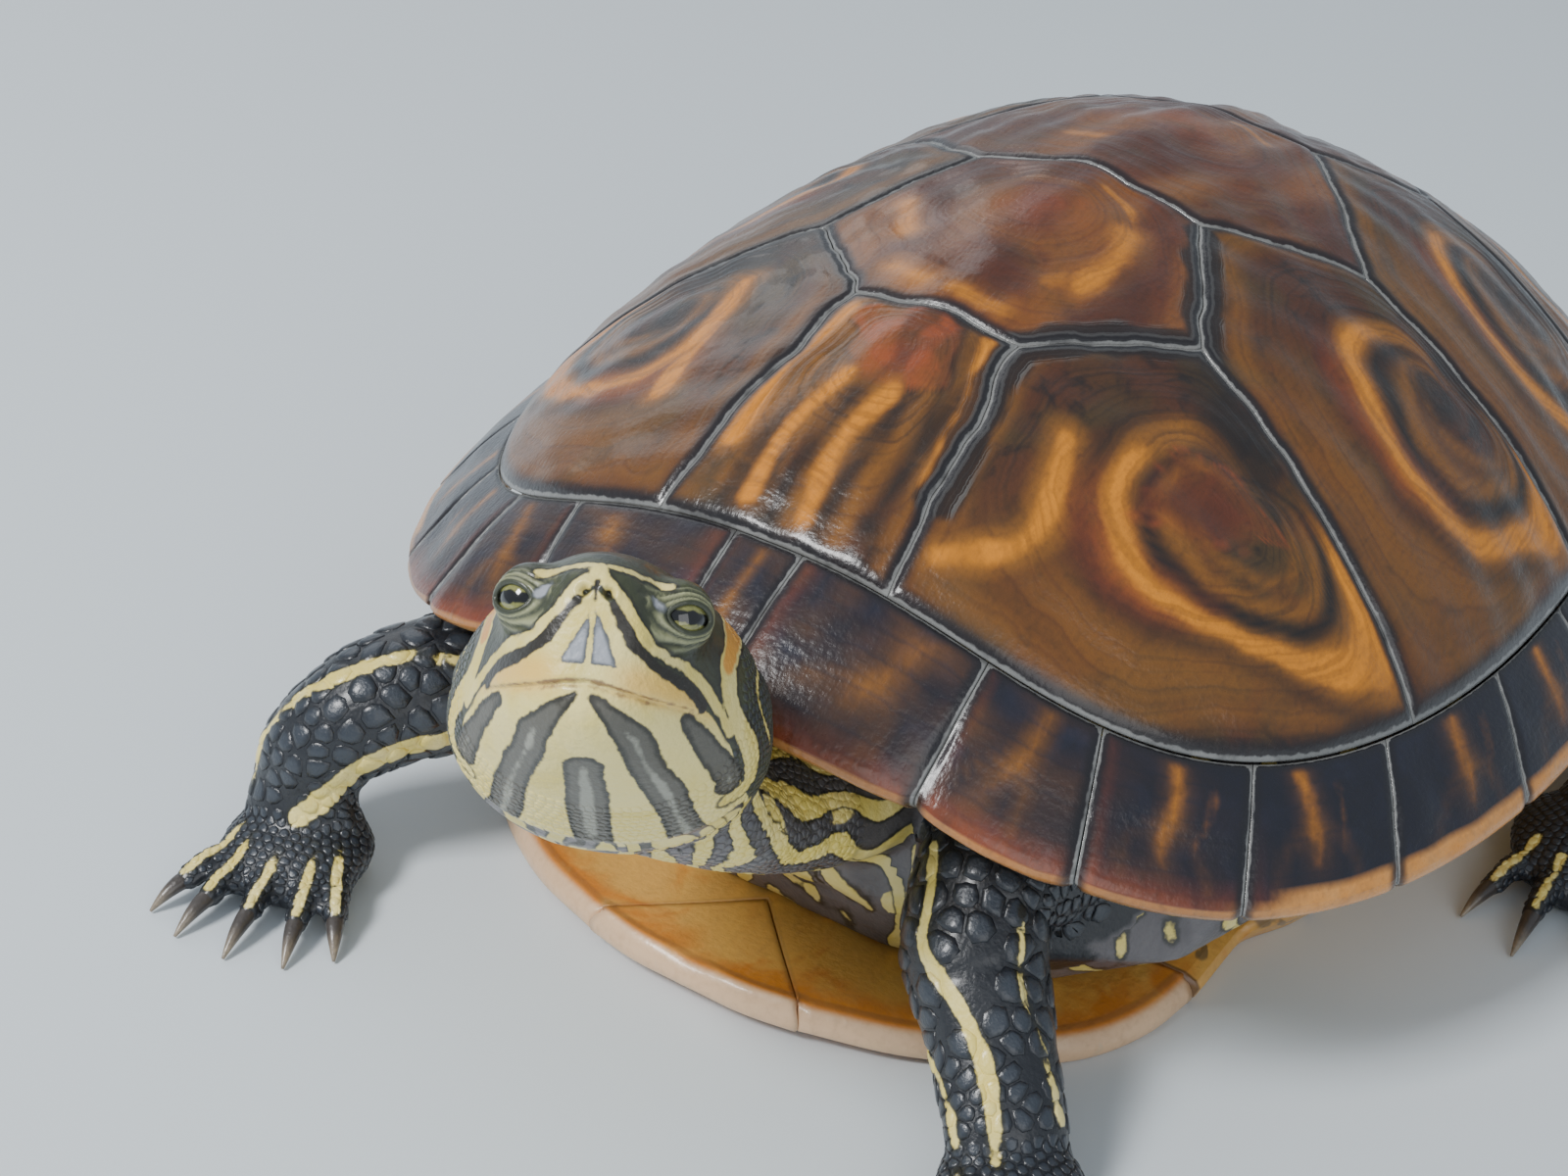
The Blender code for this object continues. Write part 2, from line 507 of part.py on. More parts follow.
def trunk():
    """The body inside the shell: side rings up to the marginal seam, then the dome under the plates."""
    turns = [360.0 * k / TRUNK_POINTS for k in range(TRUNK_POINTS)]
    rings = []
    for height, front, rear, half in TRUNK_LEVELS:
        ring = []
        for turn in turns:
            across, forward = math.sin(math.radians(turn)), math.cos(math.radians(turn))
            reach, power = (-front, TRUNK_POWER["front"]) if forward > 0 else (rear, TRUNK_POWER["rear"])
            radius = (abs(across / half) ** power + abs(forward / reach) ** power) ** (-1 / power)
            x, y = radius * across, -radius * forward
            lowest = PLASTRON + lip_rise(y) + TRUNK_OVER_PLASTRON
            ring.append(Vector((x, y, lowest if height is None else height)))
        rings.append(ring)

    def heights(turn):
        along = direction(*rim_point(turn))[0]
        return between(RIM_Z, along), between(SEAM_Z, along)

    for share, over in TRUNK_RIM:
        rings.append([Vector((*rim_point(turn, seam_share(turn) * share), heights(turn)[0] + over))
                      for turn in turns])
    share = TRUNK_RIM[-1][0]
    rings.append([Vector((*rim_point(turn, seam_share(turn) * share),
                          heights(turn)[1] - TRUNK_UNDER_PLATES)) for turn in turns])
    for inward in TRUNK_DOME:
        ring = []
        for turn in turns:
            x, y = rim_point(turn, seam_share(turn) * inward)
            surface = Vector((x, y, dome(x, y)))
            ring.append(surface + inwards(x, y) * TRUNK_UNDER_PLATES)
        rings.append(ring)
    points, faces = loft_faces(rings)
    return solid("trunk", points, faces)


def tube_rings(stations, grow=0.0, sides=12, last_normal=None):
    """Oval rings across a path. Their long axis stays level, except where the path bends over."""
    centres = [Vector(centre) for centre, _, _ in stations]
    rings = []
    for k, (centre, half_width, half_height) in enumerate(stations):
        ahead = (centres[min(k + 1, len(centres) - 1)] - centres[max(k - 1, 0)]).normalized()
        if last_normal is not None and k == len(stations) - 1:
            ahead = last_normal
        across = ahead.cross(Vector((0, 0, 1))).normalized()
        upright = across.cross(ahead)
        rings.append([Vector(centre) + across * math.cos(a) * (half_width + grow)
                      + upright * math.sin(a) * (half_height + grow)
                      for a in (2 * math.pi * (j + 0.5) / sides for j in range(sides))])
    return rings


def toe(start, heading, length, claw):
    """A toe that arches down to the floor and ends in a curved claw."""
    ahead = Vector((math.sin(heading), -math.cos(heading), 0.0))
    stations = [(start + ahead * length * share + Vector((0, 0, rise)), TOE_RADIUS * thick,
                 TOE_RADIUS * thick) for share, rise, thick in TOE_PATH]
    root = stations[-1][0]
    for share, drop, thick in CLAW_PATH:
        height = root.z + (CLAW_TIP_Z - root.z) * drop
        spot = Vector((*(root + ahead * claw * share).xy, height))
        stations.append((spot, TOE_RADIUS * thick, TOE_RADIUS * thick))
    return tube_rings(stations, sides=6)


def foot_pieces(palm, heading, half_width, length, toes, spread_share):
    """Rings of a palm, flat below, and of its five toes."""
    centre, ahead = Vector(palm), Vector((math.sin(heading), -math.cos(heading), 0.0))
    stations = [(centre + ahead * length * share, half_width * wide, (palm[2] + PALM_SINK) * tall)
                for share, wide, tall in PALM_SHAPE]
    stations = [(Vector((*middle.xy, high - PALM_SINK)), wide, high) for middle, wide, high in stations]
    pieces = [tube_rings(stations, sides=12)]
    across = Vector((ahead.y, -ahead.x, 0.0)) * -1
    for fan, (toe_length, claw) in zip(TOE_FAN, toes):
        spread = math.radians(fan * spread_share)
        aside = half_width * TOE_ROOTS_WIDTH * math.sin(math.radians(fan) * TOE_ROOTS_TURN)
        root = centre + ahead * length * TOE_ROOTS_AHEAD * math.cos(spread) + across * aside
        root.z = TOE_ROOT_Z
        pieces.append(toe(root, heading + spread, toe_length, claw))
    return pieces


def leg(name, stations):
    """A leg with its foot, toes and claws joined to it, cut flat where it stands."""
    palm, degrees, half_width, length = FEET[name]
    toes = FORE_TOES if name.startswith("fore") else HIND_TOES
    spread = TOE_SPREAD[name[:4]]
    points, faces = loft_faces(tube_rings(stations))
    made = solid(name, points, faces, origin=stations[0][0])
    pieces = foot_pieces(palm, math.radians(degrees), half_width, length, toes, spread)
    for number, rings in enumerate(pieces):
        points, faces = loft_faces(rings)
        boolean(made, helper(solid(f"{name}_piece_{number}", points, faces)), "UNION")
    cut_flat_at_floor(made)
    return made


def head_axes():
    """Forward, left and up of the head, as unit vectors."""
    forward = Vector((math.sin(HEAD_YAW) * math.cos(HEAD_PITCH), -math.cos(HEAD_YAW) * math.cos(HEAD_PITCH),
                      math.sin(HEAD_PITCH)))
    left = Vector((math.cos(HEAD_YAW), math.sin(HEAD_YAW), 0.0))
    return forward, left, left.cross(forward) * -1


def head_point(f, l, u):
    forward, left, up = head_axes()
    return HEAD_CENTRE + forward * f + left * l + up * u


def head_rings(sides=20):
    rings = []
    for f, half, top, bottom, widest in HEAD_RINGS:
        ring = []
        for k in range(sides):
            angle = 2 * math.pi * (k + 0.5) / sides
            across, upright = math.cos(angle), math.sin(angle)
            height = top - widest if upright > 0 else widest - bottom
            power = HEAD_POWERS[0] if upright > 0 else HEAD_POWERS[1]
            ring.append(head_point(f, half * math.copysign(abs(across) ** power, across),
                                   widest + height * math.copysign(abs(upright) ** power, upright)))
        rings.append(ring)
    return rings


def ball(name, centre, radius):
    shape = bmesh.new()
    bmesh.ops.create_uvsphere(shape, u_segments=12, v_segments=8, radius=radius * MM)
    mesh = bpy.data.meshes.new(name)
    shape.to_mesh(mesh)
    shape.free()
    made = bpy.data.objects.new(name, mesh)
    made.location = centre * MM
    bpy.context.scene.collection.objects.link(made)
    mesh.materials.append(material(name, "eye"))
    return made


def jaw_space(name, grow):
    """The room of the lower jaw: all below the mouth line and ahead of its corners."""
    corner_f = MOUTH_CORNER_F - grow
    profile = ((corner_f, MOUTH_CORNER_U + grow), *((f, u + grow) for f, u in MOUTH_LINE),
               (MOUTH_LINE[-1][0], JAW_DEPTH_U), (corner_f, JAW_DEPTH_U))
    rings = [[head_point(f, side * JAW_HALF, u) for f, u in profile] for side in (-1, 1)]
    points, faces = loft_faces(rings)
    return helper(solid(name, points, faces))


def head():
    points, faces = loft_faces(head_rings())
    upper = solid("head", points, faces, origin=HEAD_CENTRE)
    jaw = solid("lower_jaw", points, faces, origin=head_point(MOUTH_CORNER_F, 0, MOUTH_CORNER_U))
    boolean(upper, jaw_space("head_jaw_cutter", GAP / 2))
    boolean(jaw, jaw_space("head_jaw_keeper", -GAP / 2), "INTERSECT")
    for side, name in ((1, "eye_left"), (-1, "eye_right")):
        centre = head_point(EYE_F, side * EYE_L, EYE_U)
        ball(name, centre, EYE_RADIUS)
        boolean(upper, helper(ball(f"head_{name}_socket", centre, EYE_RADIUS + GAP)))
    settle(upper)
    settle(jaw)


def neck():
    forward, _, up = head_axes()
    f, half, top, bottom, _ = HEAD_RINGS[-1]
    end = head_point(f - GAP, 0, (top + bottom) / 2)
    stations = [*NECK_RINGS, (end, half * NAPE, (top - bottom) / 2 * NAPE)]
    made = None
    for name, grow in (("neck", 0.0), ("neck_cutter", GAP)):
        points, faces = loft_faces(tube_rings(stations, grow, 16, forward))
        made = solid(name, points, faces, origin=NECK_RINGS[0][0])
        if grow:
            helper(made)
    return made


def limbs_and_trunk():
    body = trunk()
    boolean(body, neck())
    legs = {"foreleg_left": FORELEG_LEFT, "foreleg_right": FORELEG_RIGHT,
            "hindleg_left": HINDLEG_LEFT, "hindleg_right": HINDLEG_RIGHT}
    for name, stations in legs.items():
        leg(name, stations)
        (x, y, z), degrees, half_width, length = FEET[name]
        palm = foot_pieces((x, y, z + GAP), math.radians(degrees), half_width + GAP, length + GAP,
                           (), 1.0)[0]
        for piece, rings in (("leg", tube_rings(stations, GAP)), ("palm", palm)):
            points, faces = loft_faces(rings)
            boolean(body, helper(solid(f"{name}_{piece}_cutter", points, faces)))
    points, faces = loft_faces(tube_rings(TAIL_RINGS))
    tail = solid("tail", points, faces, origin=TAIL_RINGS[0][0])
    cut_flat_at_floor(tail)
    points, faces = loft_faces(tube_rings(TAIL_RINGS, GAP))
    boolean(body, helper(solid("tail_cutter", points, faces)))
    settle(body)


def main():
    for existing in list(bpy.data.objects):
        bpy.data.objects.remove(existing, do_unlink=True)
    carapace()
    plastron()
    limbs_and_trunk()
    head()


main()
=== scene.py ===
"""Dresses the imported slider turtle: horn plates with growth rings, one striped skin, scales, eyes and claws.

It is laid out as an add-on and run as a script. Lengths inside the functions are millimetres in the part's
own frame, where the turtle faces -Y with its left side at +X; bare_mesh() and place() turn them into metres.
"""

import math
import random

import bpy
import numpy as np
from bpy.props import FloatProperty, FloatVectorProperty, IntProperty, PointerProperty
from bpy.types import Operator, Panel, PropertyGroup
from mathutils import Matrix, Vector
from mathutils.bvhtree import BVHTree
from mathutils.kdtree import KDTree


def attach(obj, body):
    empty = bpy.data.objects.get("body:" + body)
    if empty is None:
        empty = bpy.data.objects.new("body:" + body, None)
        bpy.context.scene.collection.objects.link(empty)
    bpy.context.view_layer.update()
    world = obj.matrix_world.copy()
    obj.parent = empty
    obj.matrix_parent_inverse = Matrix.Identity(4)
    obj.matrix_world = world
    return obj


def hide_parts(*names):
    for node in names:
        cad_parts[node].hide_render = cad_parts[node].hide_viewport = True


bl_info = {
    "name": "Slider turtle model",
    "version": (1, 0, 0),
    "blender": (4, 5, 0),
    "location": "3D View > Sidebar > Turtle",
    "description": "Dresses a life-size still model of a pond slider turtle",
    "category": "Add Mesh",
}

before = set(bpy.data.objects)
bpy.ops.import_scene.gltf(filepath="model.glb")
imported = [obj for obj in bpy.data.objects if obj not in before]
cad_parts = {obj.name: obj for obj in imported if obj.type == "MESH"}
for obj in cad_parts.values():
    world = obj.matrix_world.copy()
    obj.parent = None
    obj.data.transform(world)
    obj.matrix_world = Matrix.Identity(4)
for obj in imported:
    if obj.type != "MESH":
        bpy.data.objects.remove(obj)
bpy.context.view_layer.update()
MM = 0.001
BODY = "root"
MERGE = 0.000005  # points closer than this are one

# ---------------------------------------------------------------- the body's sizes, as the solids have them

HALF_LENGTH, HALF_WIDTH, OUTLINE_POWER = 100.0, 77.0, 2.46
APEX_Z, DOME_ROUNDNESS = 79.8, 0.84
DOME_POWER = {"front": 2.05, "side": 1.86, "rear": 1.95}
KEEL_HEIGHT, KEEL_WIDTH = 0.9, 5.0
RIM_Z = {"front": 46.0, "side": 28.0, "rear": 21.0}
SEAM_Z = {"front": 57.0, "side": 38.5, "rear": 37.0}
SEAM_SHARE = {"front": 0.83, "side": 0.88, "rear": 0.87}
FLARE, PLATE, SERRATION, DOME_FOCUS_Z = 0.8, 3.0, 1.1, 4.0
DOME_FOCUS_SHARE, FRONT_POWER, REAR_POWER, SEAM_POWER = 0.35, 7.0, 3.0, 12
NUCHAL_ANGLE, V1_ANGLE, V5_ANGLE = 3.0, 10.2, 146.0
# The rim plates' ends: angle from the front, how many degrees their edges lean forward on the way out, and
# their reach as a share of the way from the seam to the rim.
MARGINAL_ANGLES = (NUCHAL_ANGLE, 18.4, 27.0, 38.8, 52.0, 69.0, 85.0, 100.0, 114.0, 128.0, 143.0, 161.0,
    180.0)
RIM_LEANS = (1.0, 3.4, 1.0, 1.6, 2.0, 2.6, 1.0, 0.0, 0.0, 0.0, 0.0, 0.0, 0.0)
RIM_REACHES = (0.94, 0.79, 0.94, 0.97, 1.0, 1.0, 1.0, 1.0, 1.0, 1.0, 1.0, 1.0, 1.0)
# Where the costals' seams meet the rim plates, and in plan the corners of the seams on the dome's left side.
COSTAL_FEET = (55.5, 92.0, 121.0)
VERTEBRAL_CORNERS = ((11.0, -50.0), (16.0, -13.0), (15.5, 25.0), (11.5, 62.0))
COSTAL_HUBS = ((26.0, -33.0), (33.0, 0.5), (27.5, 41.0))

PLASTRON = 4.0
LIP_START_Y, LIP_LENGTH, LIP_RISE = -70.0, 26.0, 2.2
GULAR_HALF, GULAR_APEX_Y = 15.0, -77.0
HUMERAL_Y, PECTORAL_Y, ABDOMINAL_Y, FEMORAL_Y = -58.0, -16.0, 38.0, 68.0  # the rear seams of those plates
FRONT_LOBE = ((0.0, -95.0), (8.0, -94.6), (15.0, -93.0), (26.0, -88.8), (36.0, -82.2), (43.0, -75.0),
    (47.0, -66.5), (48.5, -58.0))
REAR_LOBE = ((48.5, 38.0), (45.5, 50.0), (43.0, 60.0), (40.0, 68.0), (33.0, 79.0), (24.0, 87.0),
    (14.0, 91.0), (6.0, 90.0), (0.0, 84.0))
BELLY_HALF = 53.0
BRIDGE = {"start": -46.0, "end": 34.0, "blend": 12.0, "share": 0.915, "foot_z": 0.8}

HEAD_CENTRE = np.array((1.2, -112.8, 57.2))
HEAD_YAW, HEAD_PITCH = math.radians(27.0), math.radians(39.0)
# Each ring of the head: how far forward, half width, top, bottom, and height of its widest place.
HEAD_RINGS = ((17.4, 1.8, 5.8, 0.6, 3.4), (16.9, 4.0, 7.0, -6.2, 1.5), (15.2, 6.2, 8.0, -8.6, -1.5),
    (12.0, 8.8, 9.2, -10.8, -3.0), (8.0, 11.2, 9.8, -12.8, -4.0), (4.0, 13.6, 9.6, -14.6, -4.8),
    (0.0, 15.6, 9.0, -16.4, -5.4), (-4.0, 16.6, 8.0, -18.0, -6.0), (-8.5, 16.6, 6.6, -19.0, -6.4),
    (-10.8, 16.2, 5.9, -18.9, -6.4))
EYE = np.array((10.4, 6.8, 3.7))
NAPE = 0.92
# Each station of a limb: its middle, half width and half height.
NECK_RINGS = (((0.0, -62.0, 26.0), 21.0, 12.2), ((0.0, -79.0, 27.1), 20.4, 10.9),
    ((-1.6, -91.0, 29.6), 18.6, 9.0), ((-1.6, -104.0, 36.4), 16.8, 7.5))
TAIL_RINGS = (((0.0, 70.0, 17.0), 10.0, 8.0), ((0.0, 86.0, 13.0), 7.5, 6.5), ((2.0, 99.0, 8.5), 5.0, 4.6),
    ((6.5, 110.0, 4.4), 3.0, 3.0), ((11.0, 118.5, 1.6), 1.2, 1.4))
LEG_RINGS = {
    "foreleg_left": (((34.0, -66.0, 22.0), 9.0, 9.0), ((30.0, -79.0, 23.5), 9.0, 8.6),
        ((32.5, -86.5, 18.5), 8.6, 7.4), ((38.5, -92.0, 12.6), 7.4, 6.4), ((45.0, -98.6, 6.4), 7.0, 4.6)),
    "foreleg_right": (((-33.0, -66.0, 21.0), 9.5, 9.0), ((-41.0, -82.0, 22.0), 9.2, 9.0),
        ((-48.5, -93.0, 19.8), 8.6, 8.2), ((-53.2, -98.6, 13.5), 7.8, 6.8),
        ((-52.0, -101.6, 7.2), 8.2, 4.8)),
    "hindleg_left": (((34.0, 56.0, 20.0), 11.0, 9.0), ((57.0, 50.0, 17.0), 10.5, 8.4),
        ((75.0, 38.0, 14.5), 9.0, 7.8), ((79.5, 20.0, 11.5), 7.4, 6.6), ((80.6, 2.0, 6.8), 8.4, 4.8)),
    "hindleg_right": (((-34.0, 56.0, 20.0), 11.0, 9.0), ((-54.0, 59.0, 17.0), 10.5, 8.4),
        ((-69.0, 64.0, 14.0), 9.0, 7.6), ((-77.0, 76.0, 10.5), 7.4, 6.4), ((-84.0, 91.0, 6.8), 8.4, 4.8)),
}
# Each foot: its palm's middle, its heading in degrees from straight ahead, and the palm's half width and
# length.
FEET = {
    "foreleg_left": ((47.2, -101.6, 4.2), 20.0, 8.4, 9.0),
    "foreleg_right": ((-51.0, -103.8, 4.2), 14.0, 9.6, 9.0),
    "hindleg_left": ((80.6, -0.8, 4.4), 16.0, 12.5, 12.0),
    "hindleg_right": ((-85.0, 93.5, 4.4), -148.0, 12.5, 12.0),
}
# Stations of a palm: how far along it, its width and its height, as shares.
PALM_SHAPE = ((-0.75, 0.62, 0.80), (-0.35, 0.92, 1.0), (0.2, 1.0, 0.95), (0.65, 0.86, 0.72),
    (0.95, 0.55, 0.45))
TOE_RADIUS, TOE_ROOT_Z, TOE_ROOTS_WIDTH, TOE_ROOTS_FAN = 2.0, 3.0, 0.86, 1.35
TOE_FAN = (-46.0, -23.0, 0.0, 23.0, 46.0)
TOE_SPREAD = {"fore": 0.55, "hind": 0.7}
# Each toe's length and its claw's.
TOES = {
    "fore": ((6.5, 5.2), (7.5, 6.0), (8.0, 6.3), (7.5, 6.0), (6.0, 5.0)),
    "hind": ((8.0, 6.0), (10.5, 7.0), (11.5, 7.5), (10.5, 6.5), (8.0, 3.0)),
}
FLESH = ("trunk", "neck", "head", "lower_jaw", "tail", *LEG_RINGS)


# ---------------------------------------------------------------- settings

def setting(kind, **fixed):
    """A maker of one kind of setting, which takes its name, description and default."""
    def make(name, description, default, **more):
        return kind(name=name, description=description, default=default, **fixed, **more)
    return make


length = setting(FloatProperty, unit="LENGTH", min=0.0, precision=5)
colour = setting(FloatVectorProperty, subtype="COLOR", size=3, min=0.0, max=1.0)
lamp_power = setting(FloatProperty, unit="POWER", min=0.0)
share = setting(FloatProperty, subtype="FACTOR", min=0.0, max=1.0)
whole_number = setting(IntProperty, min=0)


class ShellSettings(PropertyGroup):
    seam_gap: length("Seam gap", "Half the open gap between two plates", 0.00006)
    seam_depth: length("Seam depth", "How far a plate drops at its seams", 0.00045)
    seam_width: length("Seam width", "How far in from the edge a seam's pale line reaches", 0.00042)
    wander: length("Seam wander", "How far the seams stray from straight", 0.00055)
    relief: length("Relief", "Height of the swells over a plate", 0.00022)
    dark: colour("Dark horn", "The ground between the bands", (0.013, 0.010, 0.010))
    brown: colour("Brown horn", "The warm ground over a plate", (0.070, 0.024, 0.011))
    olive: colour("Olive horn", "The dull ground over a plate", (0.062, 0.036, 0.014))
    orange: colour("Orange horn", "The bright bands", (0.64, 0.225, 0.014))
    red: colour("Red horn", "The old middle of the first vertebral plate", (0.34, 0.070, 0.018))
    marginal: colour("Marginal horn", "The blue-black ground of the rim", (0.010, 0.011, 0.020))
    cream: colour("Rim edge", "The cream and orange edge below the rim", (0.62, 0.33, 0.13))
    seam: colour("Seam line", "The pale line along the seams", (0.30, 0.30, 0.29))
    gloss: share("Gloss", "Strength of the wet coat", 0.26)


class PlastronSettings(PropertyGroup):
    yellow: colour("Yellow horn", "The plastron's ground", (0.72, 0.40, 0.10))
    amber: colour("Amber horn", "Deeper tone along the seams and lips", (0.60, 0.21, 0.03))
    smudge: colour("Smudge", "Grey figure on each plate", (0.10, 0.085, 0.06))


class SkinSettings(PropertyGroup):
    voxel: length("Voxel", "Size of the skin's first faces", 0.0009)
    smoothing: whole_number("Smoothing", "Rounds of smoothing of the skin", 6)
    coat_depth: length("Coat depth", "How far the skin lies inside the solids", 0.00032)
    dark: colour("Dark skin", "Back of the neck, legs and tail", (0.012, 0.014, 0.019))
    olive: colour("Olive skin", "Crown of the head", (0.060, 0.068, 0.030))
    # Painted highlight: the lighter blue-grey laid on each scale's crown stands in for the wet sheen on the
    # scales.
    scale_highlight: colour("Scale tops", "Blue-grey crowns of the scales", (0.040, 0.050, 0.066))
    lid: colour("Lids", "Grey-green skin round the eyes", (0.40, 0.41, 0.22))
    pocket: colour("Pocket skin", "Soft skin in front of the shell", (0.36, 0.33, 0.34))
    warm: colour("Warm cream", "The sides of the upper beak", (0.92, 0.54, 0.10))
    cream: colour("Cream skin", "Chin and throat", (0.90, 0.76, 0.29))
    pale: colour("Pale stripe", "Yellow stripes of head, neck and legs", (0.82, 0.66, 0.16))
    amber: colour("Amber stripe", "The stripe behind the eye", (0.78, 0.36, 0.06))
    grey: colour("Grey band", "Bands on chin and throat", (0.105, 0.098, 0.078))
    # This colour fills the lilac patches under the nostrils and also a painted reflection in front of each
    # eye.
    lilac: colour("Lilac patch", "Patches under the nostrils", (0.36, 0.38, 0.42))


class ScaleSettings(PropertyGroup):
    leg: length("Leg scales", "Size of the scales half way down a leg", 0.0021)
    foot: length("Foot scales", "Size of the scales on feet and toes", 0.0012)
    neck: length("Neck scales", "Size of the grains on the neck", 0.0011)
    head: length("Head scales", "Size of the grains behind the jaw", 0.0008)
    height: share("Height", "Height of a scale as a share of its size", 0.10)
    seed: whole_number("Seed", "Seed of the scales' places", 11)


class EyeSettings(PropertyGroup):
    radius: length("Radius", "Radius of the eyeball", 0.0033)
    iris: colour("Iris", "Yellow-green iris", (0.34, 0.34, 0.10))
    pupil: colour("Pupil", "Pupil and the bar through it", (0.004, 0.004, 0.005))
    bar: length("Bar", "Half height of the dark bar across the iris", 0.00056)


class ClawSettings(PropertyGroup):
    base: colour("Base", "Claw where it leaves the toe", (0.06, 0.05, 0.045))
    tip: colour("Tip", "Worn end of the claw", (0.30, 0.24, 0.17))


class StageSettings(PropertyGroup):
    floor: colour("Floor", "Pale floor and backdrop", (0.74, 0.80, 0.84))
    floor_size: length("Floor size", "Length of the floor's sides", 6.0)
    key: lamp_power("Key light", "Power of the main softbox", 12.0)
    fill: lamp_power("Fill light", "Power of the second softbox", 4.0)
    sky: share("Sky", "Strength of the even light all round", 0.47)
    lens: FloatProperty(name="Lens", description="Focal length", default=0.05466, unit="CAMERA",
                        subtype="DISTANCE")


SETTINGS = {"turtle_shell": ShellSettings, "turtle_plastron": PlastronSettings, "turtle_skin": SkinSettings,
            "turtle_scales": ScaleSettings, "turtle_eyes": EyeSettings, "turtle_claws": ClawSettings,
            "turtle_stage": StageSettings}


# ---------------------------------------------------------------- meshes

def deselect():
    if bpy.context.mode != "OBJECT":
        bpy.ops.object.mode_set(mode="OBJECT")
    bpy.ops.object.select_all(action="DESELECT")


def choose(made):
    deselect()
    made.select_set(True)
    bpy.context.view_layer.objects.active = made


def edit_all(made):
    """Enters edit mode with the whole mesh selected."""
    choose(made)
    bpy.ops.object.mode_set(mode="EDIT")
    bpy.ops.mesh.select_all(action="SELECT")


def close_up(made, merge=MERGE):
    """Turns all faces out after merging the points that meet at poles and cuts."""
    edit_all(made)
    if merge:
        bpy.ops.mesh.remove_doubles(threshold=merge)
    bpy.ops.mesh.normals_make_consistent(inside=False)
    deselect()


def reshape(made, name, kind, **settings):
    """Gives a mesh a modifier and applies it."""
    modifier = made.modifiers.new(name, kind)
    for key, value in settings.items():
        setattr(modifier, key, value)
    choose(made)
    bpy.ops.object.modifier_apply(modifier=name)


def join_to(made, parts):
    choose(made)
    for part in parts:
        part.select_set(True)
    bpy.ops.object.join()


def linked(name, mesh):
    made = bpy.data.objects.new(name, mesh)
    bpy.context.scene.collection.objects.link(made)
    return made


def bare_mesh(name, points, faces):
    """An object at the origin from points in mm."""
    mesh = bpy.data.meshes.new(name)
    mesh.from_pydata((np.asarray(points, float) * MM).tolist(), [], faces)
    return linked(name, mesh)


def dress(made, finish, fields):
    """Gives a mesh smooth faces, its material and the fields that it reads."""
    for key, values in fields.items():
        field = made.data.attributes.new(key, "FLOAT", "POINT")
        field.data.foreach_set("value", np.asarray(values, np.float32))
    made.data.polygons.foreach_set("use_smooth", [True] * len(made.data.polygons))
    made.data.materials.clear()
    made.data.materials.append(finish)
    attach(made, BODY)
    return made


def mesh_piece(name, points, faces, finish, fields):
    made = bare_mesh(name, points, faces)
    made.data.validate()
    return dress(made, finish, fields)


def read(items, key, width, kind=float):
    found = np.empty(len(items) * width, kind)
    items.foreach_get(key, found)
    return found.reshape(-1, width)


def points_of(made):
    """The mesh's points in mm."""
    return read(made.data.vertices, "co", 3) / MM


def face_middles(made):
    return read(made.data.polygons, "center", 3) / MM


def edges_of(made):
    return read(made.data.edges, "vertices", 2, int)


def place(made, points):
    made.data.vertices.foreach_set("co", (np.asarray(points) * MM).ravel())
    made.data.update()


def grid_faces(rows, across, wrap=True, first=0):
    """Quads between rows of points, each row a closed ring when wrap is set."""
    last = across if wrap else across - 1
    return [(first + r * across + k, first + r * across + (k + 1) % across,
             first + (r + 1) * across + (k + 1) % across, first + (r + 1) * across + k)
            for r in range(rows - 1) for k in range(last)]


def fan_faces(start, across, middle, flip=False):
    """Triangles from a ring of points to one in its middle."""
    pairs = [(start + k, start + (k + 1) % across) for k in range(across)]
    return [(b, a, middle) if flip else (a, b, middle) for a, b in pairs]


def lengths(vectors):
    return np.linalg.norm(vectors, axis=1)


def ramp(low, high, value):
    """0 at low, 1 at high and a smooth step between them."""
    t = np.clip((value - low) / (high - low), 0.0, 1.0)
    return t * t * (3 - 2 * t)


def bump(gap, width, power_=2):
    """1 where the gap is 0, falling softly over the width."""
    return np.exp(-(gap / width) ** power_)


def passed_at(line):
    """How far along a line each of its points is."""
    return np.concatenate(([0.0], np.cumsum(lengths(np.diff(line, axis=0)))))


def near_tree(points):
    tree = KDTree(len(points))
    for k, point in enumerate(points):
        tree.insert(point, k)
    tree.balance()
    return tree


def to_line(points, line):
    """Distance from each point to a polyline, and how far along it the nearest place is, from 0 to 1."""
    points, line = np.asarray(points, float), np.asarray(line, float)
    best = np.full(len(points), np.inf)
    along = np.zeros(len(points))
    steps = lengths(np.diff(line, axis=0))
    passed = passed_at(line)
    for k, step in enumerate(steps):
        way = line[k + 1] - line[k]
        t = np.clip(((points - line[k]) @ way) / max(step * step, 1e-9), 0.0, 1.0)
        gap = lengths(points - line[k] - t[:, None] * way)
        near = gap < best
        best = np.where(near, gap, best)
        along = np.where(near, (passed[k] + t * step) / passed[-1], along)
    return best, along


def curve_through(stations, steps):
    """Values on a smooth curve through stations, each a flat tuple of numbers, with steps between two."""
    given = np.asarray(stations, float)
    padded = np.vstack((2 * given[0] - given[1], given, 2 * given[-1] - given[-2]))
    found = []
    for k in range(1, len(padded) - 2):
        a, b, c, d = padded[k - 1:k + 3]
        for step in range(steps):
            t = step / steps
            found.append(0.5 * (2 * b + (c - a) * t + (2 * a - 5 * b + 4 * c - d) * t * t
                                + (3 * b - a - 3 * c + d) * t ** 3))
    found.append(given[-1])
    return np.array(found)


